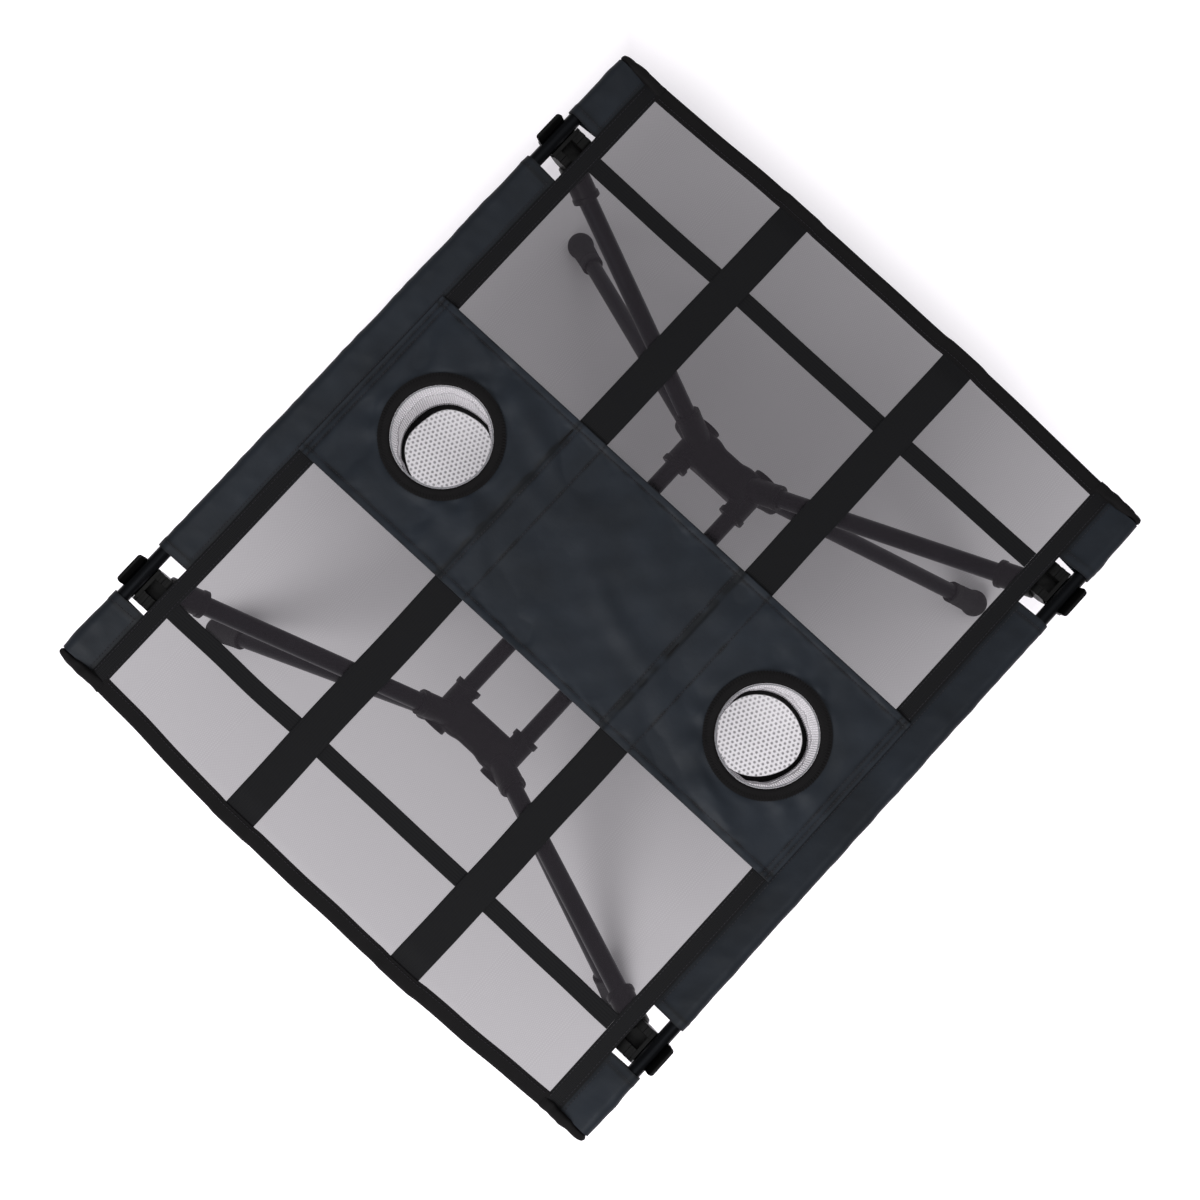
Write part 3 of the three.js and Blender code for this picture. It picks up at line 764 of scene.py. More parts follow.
def stitches(lines):
    """Stitches along lines of points: each is a short thread that arches out of the cloth and back.

    Along a stitch t runs from -1 to 1; its thickness is the root of 1 - t^2 and its height rises as 1 - t^2.
    """
    pitch, thread = sizes().stitch_pitch, sizes().thread
    middles, directions = [], []
    for line in lines:
        reach = np.concatenate([[0], np.cumsum(np.linalg.norm(np.diff(line, axis=0), axis=1))])
        places = np.arange(pitch / 2, reach[-1], pitch)
        ahead = np.minimum(places + pitch / 4, reach[-1])
        middle = np.stack([np.interp(places, reach, line[:, k]) for k in range(3)], -1)
        direction = np.stack([np.interp(ahead, reach, line[:, k]) for k in range(3)], -1) - middle
        middles.append(middle)
        directions.append(direction)
    middle = np.concatenate(middles)
    direction = np.concatenate(directions)
    direction /= np.linalg.norm(direction, axis=1, keepdims=True)
    sideways = np.cross(direction, UP)
    sideways /= np.maximum(np.linalg.norm(sideways, axis=1, keepdims=True), 1e-9)
    upwards = np.cross(sideways, direction)
    t = np.linspace(-0.96, 0.96, 5)
    angle = full_turn(6)
    round_t = np.sqrt(1 - t**2)
    along = np.broadcast_to((t * pitch * 0.39)[:, None], (5, 6))
    across = thread * round_t[:, None] * np.cos(angle)
    height = thread * (round_t[:, None] * np.sin(angle) + 1.1 * (1 - t[:, None] ** 2) - 0.2)
    axes = (direction, along), (sideways, across), (upwards, height)
    points = middle[:, None, None] + sum(axis[:, None, None] * size[None, ..., None] for axis, size in axes)
    return repeated(points)


def repeated(points):
    """A shell of many small tubes with closed ends, from points of count by rings by sides."""
    count, rings, sides, _ = points.shape
    one = grid(points[0], close_columns=True, capped=True)
    offsets = (np.arange(count) * rings * sides)[:, None, None]
    polygons = [(faces[None] + offsets).reshape(-1, faces.shape[1]) for faces in one.polygons]
    uvs = [np.broadcast_to(uv, (count, *uv.shape)).reshape(-1, *uv.shape[1:]) for uv in one.uvs]
    return Shell(points.reshape(-1, 3), polygons, uvs)


def line_on(height, x, y, step=2 * MM):
    """A line of points from (x0, y0) to (x1, y1), lifted to the surface that height(x, y) gives."""
    count = max(2, int(math.hypot(x[1] - x[0], y[1] - y[0]) / step))
    xs, ys = np.linspace(*x, count), np.linspace(*y, count)
    return np.stack([xs, ys, height(xs, ys)], -1)


def strip_section(width, thickness):
    """Section of a flat woven strip: a rectangle with soft edges, with points across its faces."""
    half_width, half_thickness = width / 2, thickness / 2
    across = np.linspace(-half_width, half_width, 9)
    top = np.stack([across[::-1], np.full(9, half_thickness)], -1)
    bottom = np.stack([across, np.full(9, -half_thickness)], -1)
    return eased(np.concatenate([top, bottom]), thickness * 0.35, closed=True, steps=3)


def strip(path, width, thickness, across):
    """A flat strip laid along a path, following the top's sag."""
    return grid(laid(carried(strip_section(width, thickness), path, across)), close_columns=True, capped=True)


def node_layer(node):
    """Middle height and thickness of a flat layer of the frame."""
    low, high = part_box(node)
    return (low.z + high.z) / 2, high.z - low.z


def sewn_rows():
    """Places of the stitch rows that run across the band."""
    rows = [seam - math.copysign(4 * MM, seam) for seam in LAP_SEAMS] + list(LAP_STITCHES)
    return rows + [sign * (SEAM_OUTER_Y - inset) for sign in (1, -1) for inset in (2 * MM, 7 * MM)]


def band_seam_shade(x, y):
    """How much painted shade darkens the band at its seams: wide dark lines at the laps, thin ones under
    each stitch row, and some at the hems and the folded edges.
    """
    lap = sum(np.exp(-(((y - seam) / (2.4 * MM)) ** 2)) for seam in LAP_SEAMS)
    rows = sum(np.exp(-(((y - row) / (1.4 * MM)) ** 2)) for row in sewn_rows())
    hem = np.exp(-(((np.abs(x) - HEM_STITCH_X) / (1.4 * MM)) ** 2))
    edge = smooth_step(np.abs(x), BAND_HALF_WIDTH - 2.5 * MM, BAND_HALF_WIDTH)
    # the painted shade is stronger and weaker at random along the seams
    uneven_shade = 0.65 + 0.5 * ripples(x, y, 16 * MM, 77)
    return np.clip((0.9 * lap + 0.6 * rows + 0.55 * hem + 0.4 * edge) * uneven_shade, 0, 1)


def band_top(x, y):
    """Height of the centre band's upper face.

    It is the layer's height with the shared sag, raised where a strap lies under it, by hems and by soft
    folds that die out at the edges and the rings, gathered round the rings, cut by a groove at each lapped
    seam and each row of stitches, and lowered to meet the sleeves.
    """
    low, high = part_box("wide_strap_rear")
    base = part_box("centre_band")[1].z - 0.4 * MM + settle(x, y)
    far = np.abs(y)
    strap = smooth_step(far, low.y - 3 * MM, low.y) * (1 - smooth_step(far, high.y, high.y + 3 * MM))
    hem = smooth_step(np.abs(x), BAND_HALF_WIDTH - HEM - 0.8 * MM, BAND_HALF_WIDTH - HEM + 0.8 * MM)
    from_cup = np.minimum(np.hypot(x, y - CUP_Y), np.hypot(x, y + CUP_Y)) - RING_OUTER
    free = smooth_step(BAND_HALF_WIDTH - np.abs(x), 0, 14 * MM) * smooth_step(from_cup, 0, 14 * MM)
    free = free * (1 - smooth_step(far, 236 * MM, 252 * MM))
    folds = 0.45 * ripples(x, y, 85 * MM, 4) + 0.22 * ripples(x, y, 34 * MM, 9)
    folds = folds + 1.1 * creases(x, y, 12, 30, BAND_HALF_WIDTH, SEAM_OUTER_Y, 10 * MM)
    pucker = np.exp(-(((np.abs(x) - HEM_STITCH_X) / (5 * MM)) ** 2)) * ripples(x, y, 11 * MM, 91)
    angle = np.arctan2(far - CUP_Y, x)
    gather = np.exp(-np.clip(from_cup, 0, None) / (16 * MM)) * np.sin(9 * angle + 2 * np.sin(3 * angle))
    gather = gather * smooth_step(from_cup, -2 * MM, 6 * MM)
    lap = sum(np.exp(-(((y - seam) / (1.5 * MM)) ** 2)) for seam in LAP_SEAMS)
    rows = sum(np.exp(-(((y - row) / (1.4 * MM)) ** 2)) for row in sewn_rows())
    rows = rows + np.exp(-(((np.abs(x) - HEM_STITCH_X) / (1.4 * MM)) ** 2))
    fall = 1.7 * MM * smooth_step(far, 243 * MM, SEAM_OUTER_Y)
    height = sizes().band_folds * (np.clip(folds * free, -0.35, 2) + 0.5 * gather + 0.1 * pucker)
    return base + height + 0.5 * MM * strap + 0.5 * MM * hem - 1.1 * MM * lap - 0.5 * MM * rows - fall


def holed_grid(xs, ys):
    """A flat grid opened by round holes at the cups.

    Round each cup, points on a square go to the hole's circle, and further out they blend back to their own
    places: p = lerp(unit(d) * (radius + m - square), d), with m the larger of |dx| and |dy|.
    Returns the points' places and which faces are cloth.
    """
    x, y = np.meshgrid(xs, ys, indexing="ij")
    open_face = np.zeros((len(xs) - 1, len(ys) - 1), bool)
    middle_x, middle_y = (xs[1:] + xs[:-1]) / 2, (ys[1:] + ys[:-1]) / 2
    for centre in (CUP_Y, -CUP_Y):
        dx, dy = x, y - centre
        reach = np.maximum(np.abs(dx), np.abs(dy))
        distance = np.maximum(np.hypot(dx, dy), 1e-9)
        round_reach = (CUP_HOLE_RADIUS + reach - HOLE_SQUARE) / distance
        blend = smooth_step(reach, HOLE_SQUARE, HOLE_SQUARE + HOLE_BLEND)
        near = reach < HOLE_SQUARE + HOLE_BLEND
        x = np.where(near, dx * (round_reach * (1 - blend) + blend), x)
        y = np.where(near, centre + dy * (round_reach * (1 - blend) + blend), y)
        inside_x, inside_y = np.abs(middle_x) < HOLE_SQUARE, np.abs(middle_y - centre) < HOLE_SQUARE
        open_face |= inside_x[:, None] & inside_y[None]
    return x, y, ~open_face


def band_rows(reach, step):
    """Places across the table with a row exactly on each side of both holes' squares."""
    stops = [cup + edge for cup in (-CUP_Y, CUP_Y) for edge in (-HOLE_SQUARE, HOLE_SQUARE)]
    stops = [-reach, *stops, reach]
    parts = [
        np.linspace(low, high, max(2, round((high - low) / step)), endpoint=False)
        for low, high in zip(stops, stops[1:])
    ]
    return np.concatenate([*parts, [reach]])


def sleeve_section(radius, seam_half, seam_reach):
    """Section of the cloth loop about the rod: an arc that runs into two lines which meet at the seam."""
    tangent = math.acos(radius / seam_reach)
    angle = np.linspace(-math.pi + tangent, math.pi - tangent, 29)
    arc = on_circle(angle) * radius
    share = np.linspace(0, 1, 10)[1:, None]
    end = np.array([-seam_reach, seam_half])
    upper = arc[-1] * (1 - share) + end * share
    lower = (arc[0] * (1 - share) + end * [1, -1] * share)[::-1]
    return np.concatenate([arc, upper, lower])


def sleeve_top(y):
    """Height of the sleeve's upper face above the rod's axis at a distance y from the table's middle line."""
    section = sleeve_section(SLEEVE_RADIUS, 0.8 * MM, ROD_Y - SEAM_OUTER_Y)
    upper = section[14:38][::-1]
    return np.interp(y - ROD_Y, upper[:, 0], upper[:, 1])


def sleeve_stretch(from_x, to_x, hems, side, seed):
    """One stretch of a side sleeve: an outer and an inner cloth loop joined at their ends.

    The outer loop moves along its own normal by soft wrinkles and by the hems at the notches.
    """
    stations = np.linspace(from_x, to_x, max(8, round((to_x - from_x) / (2.5 * MM))))
    reach = ROD_Y - SEAM_OUTER_Y
    outer = sleeve_section(SLEEVE_RADIUS, 0.8 * MM, reach)
    inner = sleeve_section(SLEEVE_RADIUS - SLEEVE_WALL, 0.12 * MM, reach - 2 * MM)
    tangent = np.roll(outer, -1, axis=0) - np.roll(outer, 1, axis=0)
    normal = np.stack([tangent[:, 1], -tangent[:, 0]], -1)
    normal /= np.linalg.norm(normal, axis=1, keepdims=True)
    lap = np.concatenate([[0], np.cumsum(np.linalg.norm(np.diff(outer, axis=0), axis=1))])
    along, around = np.meshgrid(stations, lap, indexing="ij")
    from_ends = np.minimum(along - from_x, to_x - along)
    soft = smooth_step(from_ends, 0, 12 * MM)
    folds = 0.6 * ripples(along, around * 0.8, 46 * MM, seed)
    folds = folds + 0.4 * ripples(along, around, 19 * MM, seed + 1)
    lift = 1.6 * np.logaddexp(0, 2.2 * folds) / 2.2 * soft * smooth_step(outer[:, 0], -reach, -reach + 8 * MM)
    lift = sizes().sleeve_folds * lift
    for hem_x in hems:
        lift = lift + 0.5 * MM * (1 - smooth_step(np.abs(along - hem_x), 8.2 * MM, 9.4 * MM))
    loops = []
    for section, moved in ((outer, lift), (inner, lift * 0.8)):
        place = section[None] + normal[None] * moved[..., None]
        loops.append(np.stack([along, ROD_Y + place[..., 0], ROD_Z + place[..., 1]], -1))
    points = np.concatenate([loops[0], loops[1][::-1]])
    return grid(at_side(points, side), close_rows=True, close_columns=True)


def at_side(points, side):
    """Half a turn about the vertical carries a rear shape to the front."""
    return points if side == "rear" else points * np.array([-1, -1, 1])


def folded_section(width, half_height, tape):
    """Section of an edge tape folded over the cloth: a U with its fold at 0 and its arms' ends at -width."""
    fold = 0.9 * half_height
    outer = [(-width, 0.8 * half_height), (-fold, half_height), (0, 0), (-fold, -half_height)]
    outer = eased([*outer, (-width, -0.8 * half_height)], 1.1 * half_height, steps=6)
    half_gap = half_height - tape
    inner = [(-width, -0.8 * half_height + tape), (-fold - 0.4 * tape, -half_gap), (-1.2 * tape, 0)]
    inner += [(-fold - 0.4 * tape, half_gap), (-width, 0.8 * half_height - tape)]
    inner = eased(inner, half_gap, steps=6)
    return np.concatenate([outer, inner])


def over_strap(y):
    """1 where a wide strap runs into an end binding, easing to 0 on both sides."""
    return 1 - smooth_step(np.abs(np.abs(y) - WIDE_STRAP_Y), 15 * MM, 24 * MM)


def end_edge(ys, end):
    """Distance of an end's edge from the middle: bowed, pushed out by each strap, set back at the corners."""
    bulge = sizes().end_bulge if end == "left" else 0.6 * MM
    bow = bulge * np.clip(1 - (ys / SEAM_INNER_Y) ** 2, 0, 1)
    set_back = 4.2 * MM * smooth_step(np.abs(ys), SEAM_INNER_Y - 150 * MM, SEAM_INNER_Y + 12 * MM)
    uneven = 0.4 * MM * ripples(ys, ys * 0, 60 * MM, SIGN[end] + 5)
    return HALF_LENGTH + bow - set_back + 0.7 * MM * over_strap(ys) + uneven


def ring_wave(angle, size, seed):
    """A gentle unevenness round a ring: a few seeded waves that fit the full turn."""
    rng = np.random.default_rng(seed)
    return size * sum(np.sin(k * angle + rng.uniform(0, 6)) / k**0.7 for k in (2, 3, 5)) / 1.6


def pocket_radius(angle, depth_share, seed):
    """Radius of the hanging pocket: it narrows downwards, pulls in at mid depth and grows uneven."""
    narrowing = POCKET_TOP_RADIUS + (POCKET_BOTTOM_RADIUS - POCKET_TOP_RADIUS) * depth_share
    pulled_in = 1.4 * MM * np.sin(math.pi * depth_share)
    uneven = ring_wave(angle, 2.4 * MM, seed) * depth_share**1.5
    pleats = 0.7 * MM * np.sin(11 * angle + 1.5 * np.sin(2 * angle)) * np.sin(math.pi * depth_share)
    fold_at = 0.34 + 0.1 * np.sin(angle + seed)
    fold = 2.4 * MM * np.exp(-(((depth_share - fold_at) / 0.05) ** 2))
    return narrowing - pulled_in + uneven + pleats - fold


# ---- operators ----
class CAMPTABLE_OT_stage(bpy.types.Operator):
    """Make the floor, the soft lights and the camera."""

    bl_idname = "camp_table.stage"
    bl_label = "Stage"

    def execute(self, context):
        settings = context.scene.camp_table_stage
        corners = np.array([(-1, -1, 0), (1, -1, 0), (1, 1, 0), (-1, 1, 0)]) * FLOOR_HALF
        floor = bpy.data.objects.new("floor", bpy.data.meshes.new("floor"))
        floor.data.from_pydata((corners - FLOOR_DROP * UP).tolist(), [], [(0, 1, 2, 3)])
        floor.data.materials.append(finish(studio_floor))
        context.scene.collection.objects.link(floor)
        self.light(context, "key", settings.key, KEY_SIZE, KEY_PLACE)
        self.light(context, "fill", settings.fill, FILL_SIZE, FILL_PLACE)
        world = bpy.data.worlds.new("surroundings")
        world.use_nodes = True
        background = world.node_tree.nodes["Background"].inputs
        background["Color"].default_value = linear(SKY_COLOUR)
        background["Strength"].default_value = settings.sky
        context.scene.world = world
        context.scene.view_settings.view_transform = "Standard"
        self.camera(context)
        return {"FINISHED"}

    def light(self, context, name, power, size, place):
        """A square soft light that points at the middle of the table and isn't seen itself."""
        data = bpy.data.lights.new(name, "AREA")
        data.energy = power
        data.size = size
        lamp = bpy.data.objects.new(name, data)
        middle = (CAD_LOW + CAD_HIGH) / 2
        lamp.location = place
        lamp.rotation_euler = (middle - lamp.location).to_track_quat("-Z", "Y").to_euler()
        lamp.visible_camera = False
        context.scene.collection.objects.link(lamp)

    def camera(self, context):
        """A camera almost straight above the table, turned so that the table stands on its corner."""
        data = bpy.data.cameras.new("camera")
        data.lens = CAMERA_LENS
        camera = bpy.data.objects.new("camera", data)
        turn = Matrix.Rotation(CAMERA_TURN, 4, "Z")
        tilt = Matrix.Rotation(CAMERA_PITCH, 4, "X") @ Matrix.Rotation(CAMERA_ROLL, 4, "Y")
        away = Matrix.Translation((0, 0, CAMERA_DISTANCE))
        camera.matrix_world = Matrix.Translation(CAMERA_AIM) @ turn @ tilt @ away
        context.scene.collection.objects.link(camera)
        context.scene.camera = camera


class CAMPTABLE_OT_poles(bpy.types.Operator):
    """Make the arms, legs, crossbars and side rods, and the shock cords inside them."""

    bl_idname = "camp_table.poles"
    bl_label = "Poles and cords"

    def execute(self, context):
        for side, end in CORNERS:
            corner = f"{side}_{end}"
            for kind, axis, short in (("arm", arm_axis, HOOK_TUBE_END), ("leg", leg_axis, FOOT_TUBE_END)):
                start, direction, length = axis(side, end)
                ends = (start + direction * POLE_START, start + direction * (length - short))
                self.pole(f"{kind}_{corner}", ends, POLE_RADIUS, f"{corner}_{kind}")
                self.cord(f"{kind}_cord_{corner}", ends, f"{corner}_{kind}")
            low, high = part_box(f"side_rod_{corner}")
            y = SIGN[side] * ROD_Y
            ends = (np.array([low.x, y, ROD_Z]), np.array([high.x, y, ROD_Z]))
            self.pole(f"side_rod_{corner}", ends, ROD_RADIUS, "top")
        for side in SIDES:
            low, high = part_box(f"crossbar_{side}")
            y = SIGN[side] * CROSSBAR_Y
            ends = (np.array([low.x, y, HUB_Z]), np.array([high.x, y, HUB_Z]))
            self.pole(f"crossbar_{side}", ends, POLE_RADIUS, "frame")
            self.cord(f"crossbar_cord_{side}", ends, "frame")
            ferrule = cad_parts[f"rod_ferrule_{side}"]
            ferrule.material_slots[0].material = finish(anodised_aluminium)
        return {"FINISHED"}

    def pole(self, node, ends, radius, body):
        shell = straight_tube(*ends, radius, TUBE_WALL)
        piece(f"{node}_tube", [shell], anodised_aluminium, body, [node])

    def cord(self, node, ends, body):
        length = np.linalg.norm(ends[1] - ends[0])
        tip = 0.4 * MM
        profile = eased([(tip, 0), (CORD_RADIUS, 0), (CORD_RADIUS, length), (tip, length)], 0.6 * MM)
        shell = grid(turned(profile, ends[0], ends[1] - ends[0], 16), close_columns=True, capped=True)
        piece(f"{node}_braid", [shell], braided_cord, body, [node])


class CAMPTABLE_OT_hubs(bpy.types.Operator):
    """Make the two moulded hubs with their six sockets each."""

    bl_idname = "camp_table.hubs"
    bl_label = "Hubs"

    def execute(self, context):
        for end in ENDS:
            shells = [self.bar(end)]
            for side in SIDES:
                cross = np.array([SIGN[end] * HUB_X, SIGN[side] * CROSSBAR_Y, HUB_Z])
                inward = -SIGN[end] * X_AXIS
                shells.append(self.socket(cross, inward, HUB_X - CROSSBAR_MOUTH_X, SOCKET_COLLAR))
                shells.append(self.boss(cross, -inward))
                for axis in (arm_axis, leg_axis):
                    start, direction, _ = axis(side, end)
                    shells.append(self.socket(start, direction, POLE_START + SOCKET_DEPTH, 0.3 * MM))
            node = f"hub_{end}"
            hub = piece(f"{node}_moulding", shells, moulded_nylon, "frame", [node])
            rounded(hub, 0.8 * MM)
        return {"FINISHED"}

    def bar(self, end):
        """A rounded bar across the table between the sockets, with a web inwards and a narrower waist."""
        half_width, half_height = HUB_WIDTH / 2, HUB_HEIGHT / 2
        corners = [(half_width, half_height), (-half_width - HUB_WEB, half_height)]
        corners += [(-half_width - HUB_WEB, -half_height), (half_width, -half_height)]
        section = eased(corners, HUB_CORNER, closed=True, steps=7)
        ys = np.linspace(-HUB_HALF_LENGTH, HUB_HALF_LENGTH, 25)
        waist = 1 - 0.16 * (1 - smooth_step(np.abs(ys), 8 * MM, 20 * MM))
        path = np.stack([np.full(25, SIGN[end] * HUB_X), ys, np.full(25, HUB_Z)], -1)
        points = carried(section, path, SIGN[end] * X_AXIS)
        points[..., 2] = HUB_Z + (points[..., 2] - HUB_Z) * waist[:, None]
        narrowed = np.where(section[:, 0] > 0, waist[:, None], 1)
        points[..., 0] = SIGN[end] * (HUB_X + section[:, 0] * narrowed)
        return grid(points, close_columns=True, capped=True)

    def socket(self, start, direction, mouth, collar):
        """A bored barrel with a collar at its mouth and a shallow step behind the collar."""
        flange = SOCKET_RADIUS + collar
        behind = mouth - SOCKET_COLLAR_LENGTH
        outside = [(SOCKET_RADIUS * 0.6, -5 * MM), (SOCKET_RADIUS, -3 * MM), (SOCKET_RADIUS, behind)]
        outside += [(flange, behind + 0.6 * MM), (flange, mouth), (BORE_RADIUS, mouth)]
        profile = eased([*outside, (BORE_RADIUS, mouth - SOCKET_DEPTH)], 0.8 * MM)
        return grid(turned(profile, start, direction), close_columns=True, capped=True)

    def boss(self, start, direction):
        """A closed barrel behind a crossbar socket, with a rounded rim and a dished end."""
        reach = BOSS_X - HUB_X
        profile = [(SOCKET_RADIUS, 0), (SOCKET_RADIUS, reach), (SOCKET_RADIUS - 3 * MM, reach)]
        profile += [(SOCKET_RADIUS - 3.8 * MM, reach - 1.2 * MM), (0.5 * MM, reach - 1.2 * MM)]
        return grid(turned(eased(profile, 1.2 * MM), start, direction), close_columns=True, capped=True)


class CAMPTABLE_OT_hooks(bpy.types.Operator):
    """Make the four hooks that hold the side rods."""

    bl_idname = "camp_table.hooks"
    bl_label = "Hooks"

    def execute(self, context):
        for side, end in CORNERS:
            name = f"hook_{side}_{end}"
            start, direction, length = arm_axis(side, end)
            shells = [self.barrel(start, direction, length), self.cradle(side, end), *self.housing(side, end)]
            arm = f"{side}_{end}_arm"
            hook = piece(f"{name}_moulding", shells, moulded_nylon, arm, [name])
            rounded(hook, 0.6 * MM)
        return {"FINISHED"}

    def barrel(self, start, direction, length):
        """The barrel that takes the arm, with a collar at its shoulder."""
        radius = HOOK_BARREL_RADIUS
        shoulder = length - HOOK_SHOULDER
        top = length - HOOK_BARREL_END
        profile = [(BORE_RADIUS, shoulder + 20 * MM), (BORE_RADIUS, shoulder), (radius + 1 * MM, shoulder)]
        profile += [(radius + 1 * MM, shoulder + 4 * MM), (radius, shoulder + 5 * MM)]
        profile += [(radius, top), (0.5 * MM, top)]
        profile = eased(profile, 0.35 * MM, steps=3)
        return grid(turned(profile, start, direction), close_columns=True, capped=True)

    def cradle(self, side, end):
        """The U under the rod, open upwards, with a finger lip outside: its section carried along the rod."""
        outer = CRADLE_RADIUS + CRADLE_WALL
        inner_start = math.pi + math.asin(1 * MM / CRADLE_RADIUS)
        under = np.linspace(inner_start, 2 * math.pi, 20)
        outside = on_circle(under) * outer
        lip = eased([(9.6, 0), (12.7, 4.4), (12.7, 5.5), (10.3, 5.5), (6.4, 0)], 0.7)[1:-1] * MM
        back = on_circle(under[::-1]) * CRADLE_RADIUS
        section = np.concatenate([outside, lip, back])
        half, corner = HOOK_WIDTH / 2, 3 * MM
        xs = np.concatenate([np.linspace(-half, -half + corner, 6), np.linspace(half - corner, half, 6)])
        into = np.clip(np.abs(xs) - (half - corner), 0, corner) / corner
        pulled_in = corner * (1 - np.sqrt(1 - into**2))
        lip_share = smooth_step(section[:, 0], outer - 0.5 * MM, outer + 1 * MM)
        path = at_corner(HOOK_CENTRE, side, end) + xs[:, None] * X_AXIS
        points = carried(section, path, SIGN[side] * Y_AXIS)
        points[..., 1] -= SIGN[side] * pulled_in[:, None] * lip_share[None]
        return grid(points, close_columns=True, capped=True)

    def housing(self, side, end):
        """The block that joins barrel and cradle: two stepped cheeks with a deep pocket between them.

        The outer cheek is the wider one.
        """
        steps = [(-6.6, -1.2), (-9, -1.4), (-9, -2.6), (-12, -3), (-12, -2), (-15, -2.4), (-15, -3.8)]
        steps += [(-18, -4.2), (-18, -3.2), (-21, -3.8), (-24.5, -6), (-26, -14), (-24, -22)]
        cheek = np.array([*steps, (-10, -16), (-4, -9.2)]) * MM
        floor = np.array([(-6.8, -12), (-25, -14), (-24, -22), (-10, -16), (-4, -9.2)]) * MM
        rod = at_corner(HOOK_CENTRE, side, end)
        gap, out = HOOK_GAP_HALF, SIGN[end]
        inner_cheek = (-out * HOOK_WIDTH / 2, -out * gap, cheek)
        outer_cheek = (out * gap, out * HOOK_OUTER_HALF, cheek)
        parts = (inner_cheek, (-gap, gap, floor), outer_cheek)
        shells = []
        for low, high, section in parts:
            path = rod + np.array([low, high])[:, None] * X_AXIS
            points = carried(section, path, SIGN[side] * Y_AXIS)
            shells.append(grid(points, close_columns=True, capped=True))
        return shells


class CAMPTABLE_OT_feet(bpy.types.Operator):
    """Make the four ball-ended rubber feet."""

    bl_idname = "camp_table.feet"
    bl_label = "Feet"

    def execute(self, context):
        for side, end in CORNERS:
            start, direction, length = leg_axis(side, end)
            neck = math.asin((FOOT_BARREL_RADIUS + 0.6 * MM) / FOOT_BALL_RADIUS)
            angle = np.linspace(neck, math.pi - 0.03, 26)
            ball = np.stack([np.sin(angle), -np.cos(angle)], -1) * FOOT_BALL_RADIUS + [0, length]
            rim = length - FOOT_LENGTH
            radius = FOOT_BARREL_RADIUS
            sleeve = [(BORE_RADIUS, length - FOOT_TUBE_END), (BORE_RADIUS, rim), (radius, rim)]
            sleeve += [(radius, rim + 6 * MM), (radius - 0.5 * MM, rim + 6.5 * MM)]
            sleeve += [(radius - 0.5 * MM, rim + 9 * MM), (radius, rim + 9.5 * MM), tuple(ball[0])]
            profile = np.concatenate([eased(sleeve, 0.5 * MM), ball[1:]])
            points = turned(profile, start, direction)
            points[..., 2] = np.maximum(points[..., 2], 0)
            shell = grid(points, close_columns=True, capped=True)
            node = f"foot_{side}_{end}"
            piece(f"{node}_cap", [shell], moulded_rubber, f"{side}_{end}_leg", [node])
        return {"FINISHED"}


class CAMPTABLE_OT_sleeves(bpy.types.Operator):
    """Make the navy side sleeves with their notches and hems."""

    bl_idname = "camp_table.sleeves"
    bl_label = "Side sleeves"

    def execute(self, context):
        for side in SIDES:
            seed = 20 if side == "rear" else 40
            edge = BINDING_INNER_X + 1 * MM
            shells = [
                sleeve_stretch(-edge, -NOTCH_TO, [-NOTCH_TO], side, seed),
                sleeve_stretch(-NOTCH_FROM, NOTCH_FROM, [-NOTCH_FROM, NOTCH_FROM], side, seed + 3),
                sleeve_stretch(NOTCH_TO, edge, [NOTCH_TO], side, seed + 6),
                self.allowance(side),
            ]
            node = f"side_sleeve_{side}"
            name = f"{node}_cloth"
            sleeve = piece(name, shells, navy_polyester, "top", [node], seam=self.seam_shade)
            lines = self.hem_lines(side) + self.seam_lines(side)
            thread = piece(f"{node}_stitches", [stitches(lines)], sewing_thread, "top")
        return {"FINISHED"}

    def seam_shade(self, x, y):
        """How much painted shade darkens a sleeve: a little all over, more beside the tape and at the hems
        and notches.
        """
        stitched = sum(
            np.exp(-(((np.abs(x) - place) / (1.5 * MM)) ** 2))
            for place in (*NOTCH_STITCHES, NOTCH_FROM, NOTCH_TO)
        )
        # painted shadow on the sleeve beside the tape
        shadow_beside_tape = 1 - smooth_step(np.abs(y), SEAM_OUTER_Y, SEAM_OUTER_Y + 5 * MM)
        return np.clip(SLEEVE_SHADE + 0.4 * stitched + 0.4 * shadow_beside_tape, 0, 1)

    def allowance(self, side):
        """The flat seam allowance that runs on through the notches under the tape."""
        middle = (SEAM_INNER_Y + SEAM_OUTER_Y) / 2
        xs = np.linspace(-BINDING_INNER_X, BINDING_INNER_X, 80)
        path = np.stack([xs, np.full(80, middle), np.full(80, ROD_Z)], -1)
        section = strip_section(SEAM_OUTER_Y - SEAM_INNER_Y, 1.6 * MM)
        return grid(at_side(carried(section, path, Y_AXIS), side), close_columns=True, capped=True)

    def hem_lines(self, side):
        """Lines across the sleeve, one beside each notch's edge, from the seam to the outer edge."""
        ys = np.linspace(258 * MM, 284.5 * MM, 24)
        height = ROD_Z + sleeve_top(ys) + 0.5 * MM
        lines = []
        for x in NOTCH_STITCHES:
            for sign in (1, -1):
                lines.append(at_side(np.stack([np.full(24, sign * x), ys, height], -1), side))
        return lines

    def seam_lines(self, side):
        """A line along the sleeve just outside the tape, in each stretch of cloth."""
        y = 259 * MM
        height = ROD_Z + float(sleeve_top(y)) + 0.15 * MM
        spans = [(-328, -270), (-218, 218), (270, 328)]
        lines = []
        for low, high in spans:
            xs = np.linspace(low * MM, high * MM, 40)
            lines.append(at_side(np.stack([xs, np.full(40, y), np.full(40, height)], -1), side))
        return lines


